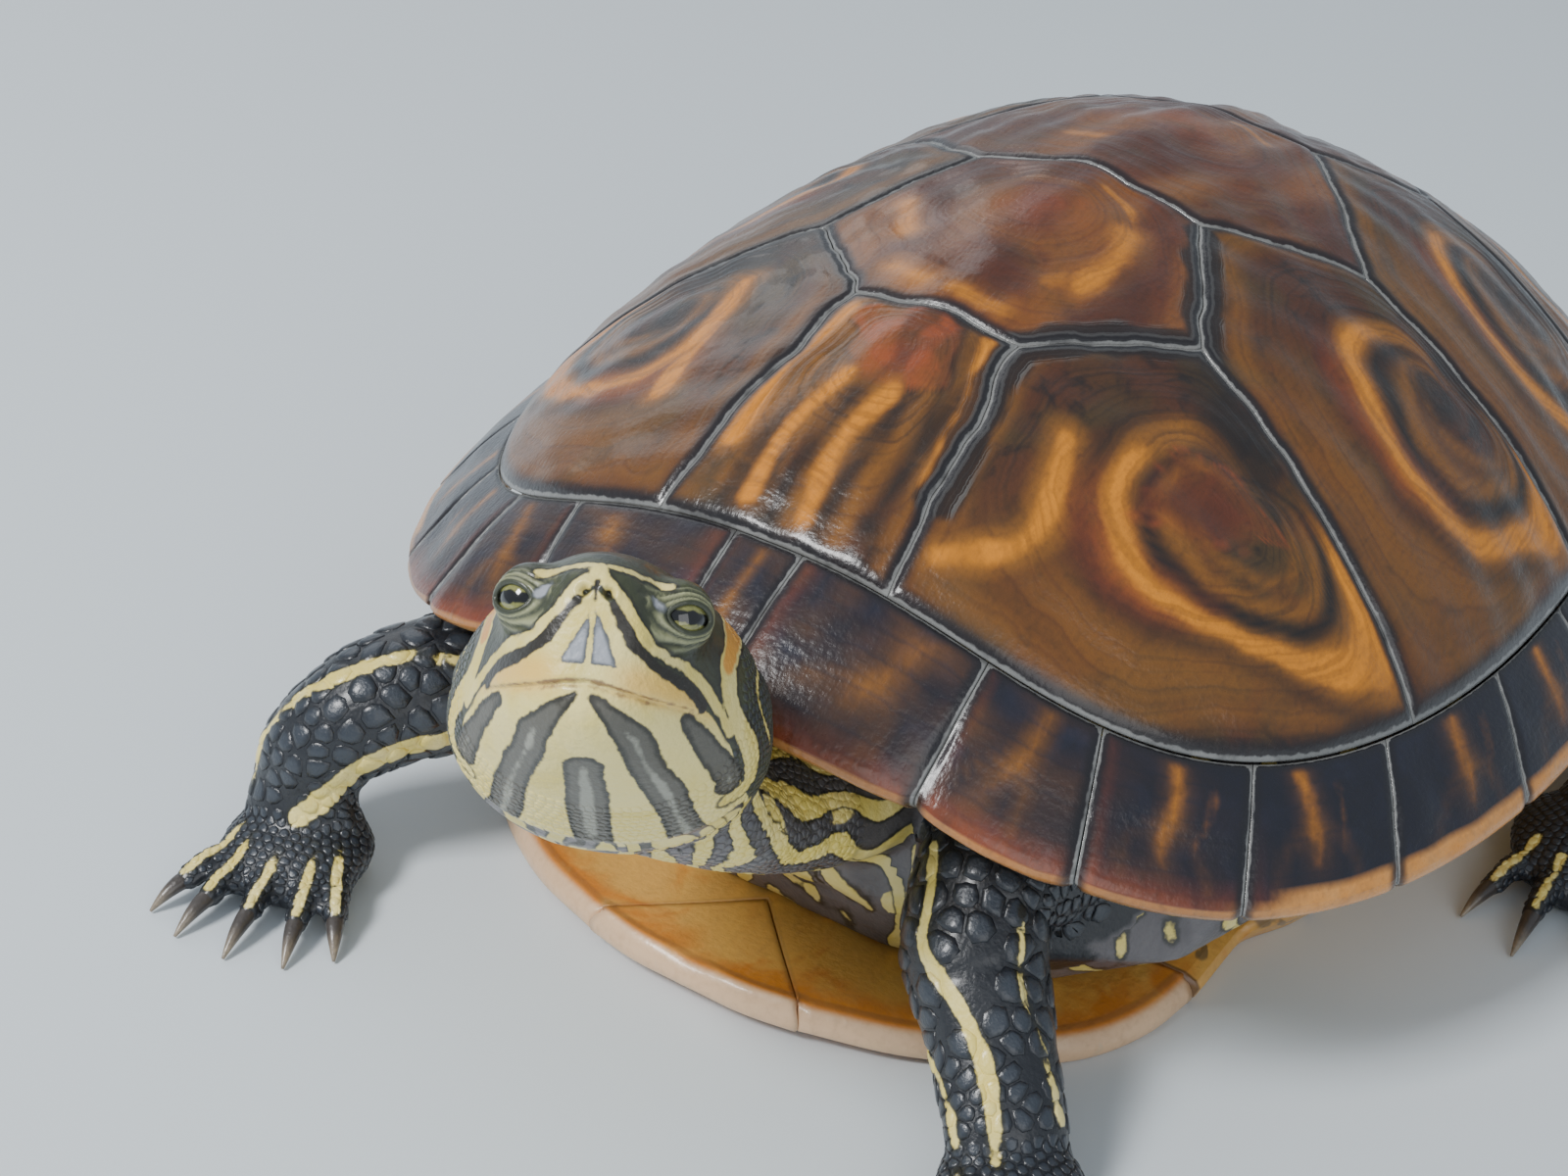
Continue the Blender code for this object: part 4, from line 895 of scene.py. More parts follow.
def belly_ring(y):
    """Points round the plastron's cut at y, where the bridge rises to the marginals."""
    share_, lobe = float(bridge_share(y)), FRONT_LOBE[-1][0]
    half = lobe + (BELLY_HALF - lobe) * share_
    rim = HALF_WIDTH * (1 - abs(y / HALF_LENGTH) ** OUTLINE_POWER) ** (1 / OUTLINE_POWER)
    rim_z = float(between(RIM_Z, direction(rim, y)[0]))

    def blend(a, b):
        return (a[0] + (b[0] - a[0]) * share_, a[1] + (b[1] - a[1]) * share_)

    foot = (half, BRIDGE["foot_z"])
    top = blend((half + 0.6, 2.4), (rim * BRIDGE["share"], rim_z - 1.2))
    inner_top = blend((half, PLASTRON - 0.6), (rim * (BRIDGE["share"] - 0.045), rim_z + 0.2))
    inner_foot = (half - 1.5 - 2.0 * share_, PLASTRON)

    def bowed(a, b, amount):
        middle = ((a[0] + b[0]) / 2 + 1.4 * amount * share_, (a[1] + b[1]) / 2 - amount * share_)
        return curve_through((a, middle, b), 7)

    right = np.vstack((np.linspace((0, 0), (half - 2.0, 0), 14)[:-1],
                       curve_through(((half - 2.0, 0), (half - 0.6, 0.16), foot), 3)[:-1],
                       bowed(foot, top, 1.0), bowed(inner_top, inner_foot, 0.6),
                       np.linspace(inner_foot, (0, PLASTRON), 12)[1:]))
    left = right[1:-1][::-1] * np.array((-1.0, 1.0))
    ring = np.vstack((right, left))
    return np.column_stack((ring[:, 0], np.full(len(ring), y), ring[:, 1]))


BELLY_GAP, BELLY_END_CUTS, BELLY_INNER, BELLY_INNER_CUTS = 0.05, (0.0, 0.1, 0.3, 0.7), 1.6, 24
BELLY_DROP, BELLY_DROP_WIDTH = 0.22, 0.5


def belly_plate(name, start, end, finish):
    near = np.array(BELLY_END_CUTS)
    inner = np.linspace(start + BELLY_INNER, end - BELLY_INNER, BELLY_INNER_CUTS)
    cuts = np.concatenate((start + BELLY_GAP + near, inner, end - BELLY_GAP - near[::-1]))
    rings = []
    for cut in cuts:
        ring = belly_ring(cut)
        heart = np.array((0.0, 0.0, 14.0)) * (np.abs(ring[:, :1]) > 40) + np.array((0.0, 0.0, 2.0))
        away = ring - heart * np.array((1.0, 0.0, 1.0)) - np.array((0.0, cut, 0.0))
        drop = BELLY_DROP * math.exp(-(min(cut - start, end - cut) / BELLY_DROP_WIDTH) ** 2)
        ring -= away / np.maximum(lengths(away)[:, None], 1e-6) * drop
        rings.append(ring)
    across = len(rings[0])
    points = np.vstack(rings)
    border = np.minimum(points[:, 1] - start, end - points[:, 1])
    faces = grid_faces(len(rings), across)
    fields = {"border": border, "lip": np.full(len(border), 9.0)}
    made = mesh_piece(name, points, faces, finish, fields)
    edit_all(made)
    bpy.ops.mesh.select_all(action="DESELECT")
    bpy.ops.mesh.select_mode(type="EDGE")
    bpy.ops.mesh.select_non_manifold()
    bpy.ops.mesh.edge_face_add()
    bpy.ops.mesh.select_all(action="SELECT")
    bpy.ops.mesh.normals_make_consistent(inside=False)
    deselect()
    return made


# ---------------------------------------------------------------- finishes

class Paint:
    """The nodes of one material or node group, and the colour that is mixed in it so far."""

    def __init__(self, tree):
        self.tree, self.colour = tree, None

    def plug(self, socket, value):
        if isinstance(value, bpy.types.NodeSocket):
            self.tree.links.new(value, socket)
        elif isinstance(value, (int, float)):
            socket.default_value = value
        else:
            socket.default_value = (*value, 1.0)[:len(socket.default_value)]

    def node(self, kind, output, inputs, **settings):
        """An output of a new node whose inputs are numbers, colours or other nodes' outputs."""
        made = self.tree.nodes.new("ShaderNode" + kind)
        for key, value in settings.items():
            setattr(made, key, value)
        for key, value in inputs.items():
            self.plug(made.inputs[key], value)
        return made.outputs[output]

    def mix(self, factor, a, b):
        return self.node("Mix", 2, {0: factor, 6: a, 7: b}, data_type="RGBA")

    def lay(self, factor, colour_):
        """Covers the colour so far with another."""
        self.colour = self.mix(factor, self.colour, colour_)

    def work(self, operation, a, b=0.0, clamp=False):
        return self.node("Math", 0, {0: a, 1: b}, operation=operation, use_clamp=clamp)

    def times(self, a, b):
        return self.work("MULTIPLY", a, b)

    def plus(self, a, b):
        return self.work("ADD", a, b)

    def ease(self, value, low, high, start=0.0, end=1.0):
        """A smooth step from start to end while the value goes from low to high."""
        inputs = {"Value": value, "From Min": low, "From Max": high, "To Min": start, "To Max": end}
        return self.node("MapRange", "Result", inputs, interpolation_type="SMOOTHSTEP")

    def field(self, name):
        return self.node("Attribute", "Fac", {}, attribute_name=name)

    def place(self):
        return self.node("TexCoord", "Object", {})

    def cloud(self, size, detail=3.0, distortion=0.0):
        """Noise whose features are about size millimetres."""
        inputs = {"Scale": 1.0 / (size * MM), "Detail": detail, "Roughness": 0.55, "Distortion": distortion}
        return self.node("TexNoise", "Fac", {"Vector": self.place(), **inputs})

    def stray(self, size, detail, amount):
        """The same noise about 0, times an amount."""
        return self.times(self.work("SUBTRACT", self.cloud(size, detail), 0.5), amount)

    def lines(self, value, scale, detail):
        """Noise along one value: the same shade wherever the value is the same."""
        inputs = {"W": value, "Scale": scale, "Detail": detail}
        return self.node("TexNoise", "Fac", inputs, noise_dimensions="1D")

    def grain(self, fineness, streaks):
        """The grain group's height and tone."""
        inputs = {"Fineness": fineness, "Streaks": streaks}
        outputs = self.node("Group", 0, inputs, node_tree=grain_group()).node.outputs
        return outputs["Height"], outputs["Tone"]

    def finish(self, roughness=None, height=None, depth=0.0):
        """Feeds the shader the colour, the roughness and a bump of so many mm."""
        inputs = self.tree.nodes["Principled BSDF"].inputs
        self.plug(inputs["Base Color"], self.colour)
        if roughness is not None:
            self.plug(inputs["Roughness"], roughness)
        if height is not None:
            bump = self.node("Bump", "Normal", {"Distance": depth * MM, "Height": height})
            self.plug(inputs["Normal"], bump)


def start_finish(name, roughness, coat=0.0, coat_roughness=0.1, specular=0.5):
    material = bpy.data.materials.new(name)
    material.use_nodes = True
    inputs = material.node_tree.nodes["Principled BSDF"].inputs
    for key, value in (("Roughness", roughness), ("Coat Weight", coat), ("Coat Roughness", coat_roughness),
                       ("Specular IOR Level", specular)):
        inputs[key].default_value = value
    return material, Paint(material.node_tree)


def grain_group():
    """Fine grain of horn and skin: a height for bump and a light or dark tone."""
    made = bpy.data.node_groups.get("Turtle grain")
    if made:
        return made
    made = bpy.data.node_groups.new("Turtle grain", "ShaderNodeTree")
    for name, side in (("Fineness", "INPUT"), ("Streaks", "INPUT"), ("Height", "OUTPUT"), ("Tone", "OUTPUT")):
        made.interface.new_socket(name=name, in_out=side, socket_type="NodeSocketFloat")
    p, entry, exit_ = Paint(made), made.nodes.new("NodeGroupInput"), made.nodes.new("NodeGroupOutput")
    fineness, streaks = entry.outputs["Fineness"], entry.outputs["Streaks"]
    fine = p.node("TexNoise", "Fac", {"Vector": p.place(), "Scale": fineness, "Detail": 4.0})
    stretched = p.node("Mapping", "Vector", {"Vector": p.place(), "Scale": (1.0, 0.16, 0.5)})
    long = p.node("TexNoise", "Fac", {"Vector": stretched, "Scale": fineness, "Detail": 2.0})
    height = p.plus(fine, p.times(long, streaks))
    p.plug(exit_.inputs["Height"], height)
    p.plug(exit_.inputs["Tone"], p.work("MULTIPLY", height, 0.6, clamp=True))
    return made


def dimmed(colour_, share_):
    return tuple(share_ * c for c in colour_)


BLACK_HORN, NEAR_BLACK = (0.01, 0.008, 0.006), (0.012, 0.011, 0.014)
UNDER_RIM = (0.74, 0.46, 0.15)
PLASTRON_RIM, PLASTRON_LINE, PLASTRON_SEAM, PLASTRON_DIRT = ((0.78, 0.58, 0.38), (0.12, 0.06, 0.03),
                                                             (0.10, 0.05, 0.03), (0.25, 0.12, 0.05))


def horn_finish(shell):
    """Carapace horn: brown, orange and dark bands, pale seams, wet gloss."""
    material, p = start_finish("Turtle carapace horn", 0.34, shell.gloss, 0.07)
    drift = p.cloud(4.5, 3.0, 0.6)
    fine_height, fine_tone = p.grain(1500.0, 0.8)
    growth = p.lines(p.plus(p.field("ring"), p.times(drift, 0.05)), 26.0, 1.5)
    # The ground, and the rim's own.
    p.colour = p.mix(p.ease(p.cloud(13.0, 2.0, 0.4), 0.40, 0.62), shell.brown, shell.olive)
    p.lay(p.ease(drift, 0.50, 0.70, 0.0, 0.8), shell.dark)
    p.lay(p.ease(growth, 0.45, 0.70, 0.0, 0.42), shell.dark)
    rim_ground = p.mix(p.ease(drift, 0.45, 0.75), shell.marginal, dimmed(shell.marginal, 2.4))
    p.lay(p.times(p.field("rimmed"), 0.92), rim_ground)
    # The bands.
    tan = tuple(0.68 * a + 0.32 * b for a, b in zip(shell.olive, shell.orange))
    p.lay(p.times(p.field("dull"), p.ease(growth, 0.25, 0.55, 0.55, 1.0)), tan)
    dark = p.times(p.field("dark"), p.ease(drift, 0.25, 0.5, 0.7, 1.0))
    p.lay(p.times(dark, 0.95), p.mix(p.field("rimmed"), shell.dark, shell.marginal))
    p.lay(p.times(p.field("red"), p.ease(drift, 0.3, 0.6, 0.6, 1.0)), shell.red)
    orange = p.mix(p.ease(growth, 0.42, 0.66), shell.orange, dimmed(shell.orange, 0.72))
    p.lay(p.ease(p.plus(p.field("bright"), p.stray(2.2, 3.0, 0.30)), 0.10, 0.80), orange)
    p.lay(p.field("cream"), p.mix(drift, shell.cream, shell.orange))
    p.lay(p.field("under"), p.mix(p.ease(p.cloud(9.0, 2.0, 1.5), 0.52, 0.6), UNDER_RIM, shell.dark))
    p.lay(p.ease(fine_tone, 0.45, 0.85, 0.0, 0.30), BLACK_HORN)
    # The seams: worn ones, the dark flanks, and the pale line between.
    wobble = p.plus(p.field("border"), p.stray(1.2, 3.0, 0.5))
    worn = p.mix(p.ease(p.lines(wobble, 1.6, 3.0), 0.48, 0.62), shell.dark, dimmed(shell.seam, 0.4))
    p.lay(p.times(p.field("worn"), 0.9), worn)
    p.lay(p.ease(wobble, 0.5, 1.8, 0.9, 0.0), NEAR_BLACK)
    pale = shell.seam_width / MM
    line = p.ease(wobble, pale * 0.5, pale * 0.9, 1.0, 0.0)
    line = p.times(line, p.ease(p.cloud(5.0), 0.3, 0.5, 0.35, 0.9))
    p.lay(line, p.mix(growth, shell.seam, dimmed(shell.seam, 0.45)))
    relief = p.plus(p.times(growth, 0.35), p.times(fine_height, 0.50))
    p.finish(p.plus(0.18, p.times(fine_tone, 0.22)), relief, 0.15)
    return material


def plastron_finish(horn):
    """Plastron horn: yellow and amber with grey figures and worn, pale edges."""
    material, p = start_finish("Turtle plastron horn", 0.38, 0.35, 0.15)
    fine_height, fine_tone = p.grain(1100.0, 0.6)
    lip, border, outside = p.field("lip"), p.field("border"), p.work("SUBTRACT", 1.0, p.field("inner"))
    amber = p.plus(p.cloud(9.0, 3.0, 1.2), p.ease(lip, 1.0, 9.0, 0.35, 0.0))
    p.colour = p.mix(p.ease(amber, 0.45, 0.85), horn.yellow, horn.amber)
    smudge = p.work("SUBTRACT", p.cloud(13.0, 2.0, 2.0), p.ease(border, 2.0, 9.0, 0.16, 0.0))
    p.lay(p.times(p.ease(smudge, 0.52, 0.60), p.times(outside, 0.75)), horn.smudge)
    rim_line = p.times(p.ease(lip, 1.6, 2.1), p.ease(lip, 2.4, 3.0, 1.0, 0.0))
    p.lay(p.times(rim_line, 0.45), PLASTRON_LINE)
    p.lay(p.ease(lip, 0.9, 1.8, 0.75, 0.0), PLASTRON_RIM)
    seam = p.times(p.ease(border, 0.25, 0.7, 0.8, 0.0), p.ease(lip, 0.8, 1.6))
    p.lay(p.times(seam, p.ease(outside, 0.0, 1.0, 0.35, 1.0)), PLASTRON_SEAM)
    p.lay(p.ease(fine_tone, 0.4, 0.8, 0.0, 0.25), PLASTRON_DIRT)
    p.finish(p.plus(0.25, p.times(fine_tone, 0.3)), fine_height, 0.12)
    return material


# ---------------------------------------------------------------- flesh

LEFT = np.array((math.cos(HEAD_YAW), math.sin(HEAD_YAW), 0.0))
AHEAD = np.array((math.sin(HEAD_YAW) * math.cos(HEAD_PITCH), -math.cos(HEAD_YAW) * math.cos(HEAD_PITCH),
                  math.sin(HEAD_PITCH)))
HEAD_AXES = np.array((AHEAD, LEFT, -np.cross(LEFT, AHEAD)))
# How far the trunk grows to meet the limbs, and how far the skin above the rim is pressed into the shell.
TRUNK_SWELL, UNDER_SHELL = 0.42, 2.3
GAZE = np.array((0.84, 0.54, -0.06)) / np.linalg.norm((0.84, 0.54, -0.06))
LID_RADIUS, OPENING_ACROSS, OPENING_UP, OPENING_POWER = 3.8, 40.0, 25.0, 1.75
MOUTH = ((17.2, 0.0, -4.0), (17.0, 2.2, -4.3), (15.7, 4.7, -4.7), (12.8, 7.8, -5.0), (9.8, 10.0, -5.1),
    (8.2, 11.0, -5.6))
NOSTRIL = (17.3, 1.15, 4.4)


def from_head(points):
    """Points given in the head's own frame: forward, left, up."""
    return HEAD_CENTRE + np.asarray(points, float) @ HEAD_AXES


def in_head(points):
    return (np.asarray(points, float) - HEAD_CENTRE) @ HEAD_AXES.T


def unit(vectors):
    vectors = np.asarray(vectors, float)
    return vectors / np.linalg.norm(vectors, axis=-1, keepdims=True)


def turns_of(sides):
    return 2 * math.pi * (np.arange(sides) + 0.5) / sides


def smooth_tube(rings, steps):
    return curve_through([ring.ravel() for ring in rings], steps).reshape(-1, *rings[0].shape)


def tube_through(stations, shrink=0.0, sides=40, steps=7, last=None):
    """Rings of points on a smooth tube through oval stations, as (rings, sides, 3)."""
    centres = [np.array(centre) for centre, _, _ in stations]
    angles = turns_of(sides)
    rings = []
    for k, (centre, half_width, half_height) in enumerate(stations):
        ahead = unit(centres[min(k + 1, len(centres) - 1)] - centres[max(k - 1, 0)])
        if last is not None and k == len(stations) - 1:
            ahead = last
        across = unit(np.cross(ahead, (0.0, 0.0, 1.0)))
        rings.append(centres[k] + np.outer(np.cos(angles) * (half_width - shrink), across)
                     + np.outer(np.sin(angles) * (half_height - shrink), np.cross(across, ahead)))
    return smooth_tube(rings, steps)


def head_tube(shrink, sides=72, steps=6):
    angles = turns_of(sides)
    across, upright = np.cos(angles), np.sin(angles)
    power = np.where(upright > 0, 0.92, 0.96)
    wide, tall = (np.sign(way) * np.abs(way) ** power for way in (across, upright))
    rings = []
    for f, half, top, bottom, widest in reversed(HEAD_RINGS):
        height = np.where(upright > 0, top - widest, widest - bottom) - shrink
        rings.append(from_head(np.column_stack((np.full(sides, f), (half - shrink) * wide,
                                                widest + height * tall))))
    return smooth_tube(rings, steps)


def neck_tube(shrink):
    f, half, top, bottom, _ = HEAD_RINGS[-1]
    stations = list(NECK_RINGS)
    for back, size in ((f - 0.3, NAPE), (f + 5.0, 0.80)):
        stations.append((from_head((back, 0.0, (top + bottom) / 2)), half * size, (top - bottom) / 2 * size))
    return tube_through(stations, shrink, 48, 8, AHEAD)


# Stations of a toe: mm beyond its root, the share of its length that is added to them, mm up from its root,
# and thickness as a share of the toe's own.
TOE_STATIONS = ((-1.5, 0.0, 0.0, 1.0), (0.0, 0.0, 0.0, 1.0), (0.0, 0.45, 0.6, 0.95), (0.0, 1.0, -0.4, 0.8),
    (0.9, 1.0, -0.7, 0.62), (1.5, 1.0, -0.9, 0.3))


def foot_tubes(name, shrink):
    """The palm and then the toes of a foot; and where each claw starts, its heading and its length."""
    palm, degrees, half_width, size = FEET[name]
    heading, kind = math.radians(degrees), name[:4]

    def way_at(turn):
        return np.array((math.sin(turn), -math.cos(turn), 0.0))

    ahead = way_at(heading)
    aside = np.array((-ahead[1], ahead[0], 0.0))
    stations = []
    for along, wide, tall in PALM_SHAPE:
        high = (palm[2] + 0.3) * tall
        spot = palm + ahead * size * along
        stations.append((np.array((*spot[:2], high - 0.3)), half_width * wide, high))
    tubes, claws = [tube_through(stations, shrink, 36, 6)], []
    for fan, (toe_length, claw) in zip(TOE_FAN, TOES[kind]):
        spread = math.radians(fan * TOE_SPREAD[kind])
        shift = half_width * TOE_ROOTS_WIDTH * math.sin(math.radians(fan) * TOE_ROOTS_FAN)
        root = palm + ahead * size * 0.5 * math.cos(spread) + aside * shift
        root[2] = TOE_ROOT_Z
        way = way_at(heading + spread)
        stations = [(root + way * (gone + toe_length * part) + np.array((0, 0, rise)), TOE_RADIUS * thick,
                     TOE_RADIUS * thick) for gone, part, rise, thick in TOE_STATIONS]
        tubes.append(tube_through(stations, shrink * 0.7, 20, 5))
        claws.append((root + way * toe_length + np.array((0.0, 0.0, -0.4)), way, claw))
    return tubes, claws


def capped(rings, name="flesh_tube"):
    across = rings.shape[1]
    points = np.vstack((rings.reshape(-1, 3), rings[0].mean(0), rings[-1].mean(0)))
    faces = grid_faces(len(rings), across) + fan_faces(0, across, len(points) - 2, flip=True)
    faces += fan_faces((len(rings) - 1) * across, across, len(points) - 1)
    return bare_mesh(name, points, faces)


def swollen_trunk(name):
    """A merged copy of the trunk's solid, grown a little so that it meets the limbs in it."""
    made = linked(name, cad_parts["trunk"].data.copy())
    made.data.materials.clear()
    edit_all(made)
    bpy.ops.mesh.remove_doubles(threshold=4 * MERGE)
    bpy.ops.transform.shrink_fatten(value=TRUNK_SWELL * MM)
    deselect()
    return made


SMOOTHING_PULLS = (0.52, -0.54)


def smoothed(points, edges, rounds, weight=1.0):
    """Points after rounds of smoothing that keeps their volume."""
    count = len(points)
    a, b = edges.T
    degree = np.maximum(np.bincount(a, minlength=count) + np.bincount(b, minlength=count), 1)
    weight = np.broadcast_to(np.asarray(weight, float), (count,))[:, None]
    for _ in range(rounds):
        for pull in SMOOTHING_PULLS:
            total = np.empty_like(points)
            for axis, column in enumerate(points.T):
                total[:, axis] = np.bincount(a, column[b], count) + np.bincount(b, column[a], count)
            points = points + (total / degree[:, None] - points) * pull * weight
    return points


def refine(made, chosen):
    """Splits the chosen faces in four and smooths them."""
    choose(made)
    bpy.context.tool_settings.mesh_select_mode = (False, False, True)
    bpy.ops.object.mode_set(mode="EDIT")
    bpy.ops.mesh.select_all(action="DESELECT")
    bpy.ops.object.mode_set(mode="OBJECT")
    made.data.polygons.foreach_set("select", chosen)
    bpy.ops.object.mode_set(mode="EDIT")
    bpy.ops.mesh.subdivide(number_cuts=1, ngon=False)
    deselect()
    points = points_of(made)
    place(made, smoothed(points, edges_of(made), 2))


def folded_over(local):
    """Head points with both sides brought to the left."""
    return np.column_stack((local[:, 0], np.abs(local[:, 1]), local[:, 2]))


def eye_angles(folded):
    """How far across and up each point is as seen from the eye's middle, in degrees, and how far from it."""
    away = folded - EYE
    gone = lengths(away)
    across = unit(np.cross((0.0, 0.0, 1.0), GAZE))
    up = np.cross(GAZE, across)
    ahead = away @ GAZE
    return (np.degrees(np.arctan2(away @ across, ahead)), np.degrees(np.arctan2(away @ up, np.hypot(
        ahead, away @ across) * np.sign(ahead))), gone)


def lid_measure(folded):
    """Below 1 inside the lids' opening, and how far each point is from the eye's middle."""
    across, up, gone = eye_angles(folded)
    return power_sum(across / OPENING_ACROSS, up / OPENING_UP, OPENING_POWER), gone


LID_RIM_DEPTH, LID_RIM_HEIGHT, LID_RIM_WIDTH = 0.22, 0.30, 0.34


def lid_rims():
    """A thin ring of skin round each eye's opening."""
    turns = np.radians(np.arange(0, 360, 5))
    reach = power_sum(np.cos(turns), np.sin(turns), OPENING_POWER) ** (-1 / OPENING_POWER)
    across = np.radians(OPENING_ACROSS * reach * np.cos(turns))
    up = np.radians(OPENING_UP * reach * np.sin(turns))
    side = unit(np.cross((0.0, 0.0, 1.0), GAZE))
    way = (np.outer(np.cos(up) * np.cos(across), GAZE) + np.outer(np.cos(up) * np.sin(across), side)
           + np.outer(np.sin(up), np.cross(GAZE, side)))
    path = EYE + way * (LID_RADIUS - LID_RIM_DEPTH)
    ahead = unit(np.roll(path, -1, axis=0) - np.roll(path, 1, axis=0))
    outward = np.cross(ahead, way)
    rings = np.stack([path + (way * math.sin(angle) * LID_RIM_HEIGHT
                              + outward * math.cos(angle) * LID_RIM_WIDTH)
                      for angle in np.radians(np.arange(0, 360, 45))], axis=1)
    count, around = rings.shape[:2]
    faces = [tuple(corner % (count * around) for corner in face) for face in grid_faces(count + 1, around)]
    return [bare_mesh("lid_rim", from_head((rings * (1.0, side_, 1.0)).reshape(-1, 3)), faces)
            for side_ in (1, -1)]


SCULPTED_BACK, EYE_REACH, SOCKET_DEPTH, SOCKET_EDGE = -14.0, 6.5, 1.35, 0.86
# Creases round an eye: where they are, as lid_measure says it; their height and their width.
LID_CREASES = ((1.75, -0.20, 0.22), (2.6, -0.22, 0.22), (3.6, -0.14, 0.22), (1.25, 0.16, 0.2))
MOUTH_REACH, MOUTH_BACK, MOUTH_DEPTH, MOUTH_WIDTH = 3.0, 6.0, 0.55, 0.28
BEAK_OVER, JAW_UNDER, BEAK_WIDTH = 0.20, 0.22, 1.6
NOSTRIL_DEPTH, NOSTRIL_WIDTH, NOSTRIL_RIM, NOSTRIL_RIM_AT, NOSTRIL_RIM_WIDTH = 0.9, 0.42, 0.18, 0.85, 0.3
EAR, EAR_HEIGHT, EAR_RADIUS = (-3.5, 15.5, -1.5), 0.16, 2.0
EAR_GROOVE, EAR_GROOVE_AT, EAR_GROOVE_WIDTH = 0.20, 2.9, 0.45
THROAT_FOLDS = 0.16


def sculpted(points, normals):
    """Eyelids, mouth, nostrils, ears and folds pressed into the skin."""
    local = in_head(points)
    folded = folded_over(local)
    forward, up = local[:, 0], local[:, 2]
    here = forward > SCULPTED_BACK
    # Lids: a socket inside the opening, creases over the brow and under the eye.
    measure, gone = lid_measure(folded)
    facing = ((folded - EYE) @ GAZE > 0) & (gone < EYE_REACH) & here
    inside = facing & (measure < 1.0)
    wanted = np.where(inside, LID_RADIUS - SOCKET_DEPTH * ramp(1.0, SOCKET_EDGE, measure), gone)
    moved = EYE + unit(folded - EYE) * wanted[:, None]
    moved[:, 1] *= np.sign(local[:, 1] + 1e-9)
    result = np.where(inside[:, None], from_head(moved), points)
    push = np.zeros(len(points))
    for at, height, width in LID_CREASES:
        push += facing * height * bump(measure - at, width)
    # Mouth: a groove, with the upper beak standing a little over the lower.
    gap, along = to_line(folded, MOUTH)
    mouth_u = np.interp(folded[:, 1], [p[1] for p in MOUTH], [p[2] for p in MOUTH])
    near = here & (gap < MOUTH_REACH) & (forward > MOUTH_BACK)
    push -= near * MOUTH_DEPTH * bump(gap, MOUTH_WIDTH)
    above = up - mouth_u
    step = BEAK_OVER * ramp(0.1, 0.4, above) - JAW_UNDER * ramp(-0.1, -0.4, above)
    push += near * step * bump(gap, BEAK_WIDTH) * (1 - ramp(0.75, 1.0, along))
    # Nostrils with their raised rims.
    nose = lengths(folded - NOSTRIL)
    push -= here * NOSTRIL_DEPTH * bump(nose, NOSTRIL_WIDTH)
    push += here * NOSTRIL_RIM * bump(nose - NOSTRIL_RIM_AT, NOSTRIL_RIM_WIDTH)
    # Ear drums, each in its groove.
    ear = lengths((folded - EAR) * (1.0, 0.5, 1.0))
    groove = EAR_GROOVE * bump(ear - EAR_GROOVE_AT, EAR_GROOVE_WIDTH)
    push += here * (EAR_HEIGHT * bump(ear, EAR_RADIUS, 4) - groove)
    # Folds: across the throat and round the neck; across the limbs where they bend.
    throat = (forward < -2.0) & (forward > -16.0) & (up < -8.0)
    wavy = 0.5 + 0.5 * np.sin(forward * 2.1 + 0.6 * waves(points, 9.0, 71))
    push -= throat * THROAT_FOLDS * ramp(-8, -12, up) * wavy
    push += soft_folds(points)
    return result + normals * push[:, None]


def soft_folds(points):
    """Loose skin: rings round the neck, creases where the legs bend."""
    push = np.zeros(len(points))
    for limb, (rings, line) in LIMB_TUBES.items():
        radius = np.linalg.norm(rings - line[:, None], axis=2).mean()
        gap, along = to_line(points, line)
        on = ramp(radius * 1.9, radius * 1.3, gap)
        wavy = along * 2 * math.pi * FOLDS[limb][0] + 1.3 * waves(points, 11.0, hash_of(limb))
        push -= on * FOLDS[limb][1] * np.clip(np.sin(wavy), 0, 1) ** 2 * ramp(*FOLDS[limb][2], along)
    return push


# How many folds a limb has over its length, how deep they are, and from where to where along it they set in.
FOLDS = {
    "neck": (9.0, 0.42, (1.02, 0.75)),
    "tail": (8.0, 0.15, (0.0, 0.1)),
    "foreleg_left": (5.5, 0.22, (0.95, 0.6)),
    "foreleg_right": (5.5, 0.22, (0.95, 0.6)),
    "hindleg_left": (6.0, 0.20, (1.0, 0.8)),
    "hindleg_right": (6.0, 0.20, (1.0, 0.8)),
}
LIMB_TUBES = {}


def limb_tubes(depth):
    """Every limb's tube and middle line, by its name."""
    LIMB_TUBES["neck"] = neck_tube(depth)
    LIMB_TUBES["tail"] = tube_through(TAIL_RINGS, depth)
    for name, stations in LEG_RINGS.items():
        LIMB_TUBES[name] = tube_through(stations, depth)
    for name, rings in list(LIMB_TUBES.items()):
        LIMB_TUBES[name] = (rings, rings.mean(axis=1))


BALL_SEGMENTS, BALL_RINGS = 48, 32


def eye_ball(name, centre, radius):
    bpy.ops.mesh.primitive_uv_sphere_add(segments=BALL_SEGMENTS, ring_count=BALL_RINGS, radius=radius * MM,
                                         location=centre * MM)
    made = bpy.context.object
    made.name = name
    bpy.ops.object.transform_apply(location=True, rotation=True, scale=True)
    return made


FINE_BACK, FINE_EYE, FINE_MOUTH, FINE_NOSTRIL = -13.0, 5.6, 0.9, 1.6  # where the skin's faces are small
# Out of sight in the shell: share of the way to the rim, height and length; and just over the plastron.
HIDDEN_SHARE, HIDDEN_Z, HIDDEN_Y, HIDDEN_LOW_X, HIDDEN_LOW_Y = 0.80, 8.0, 72.0, 42.0, 70.0


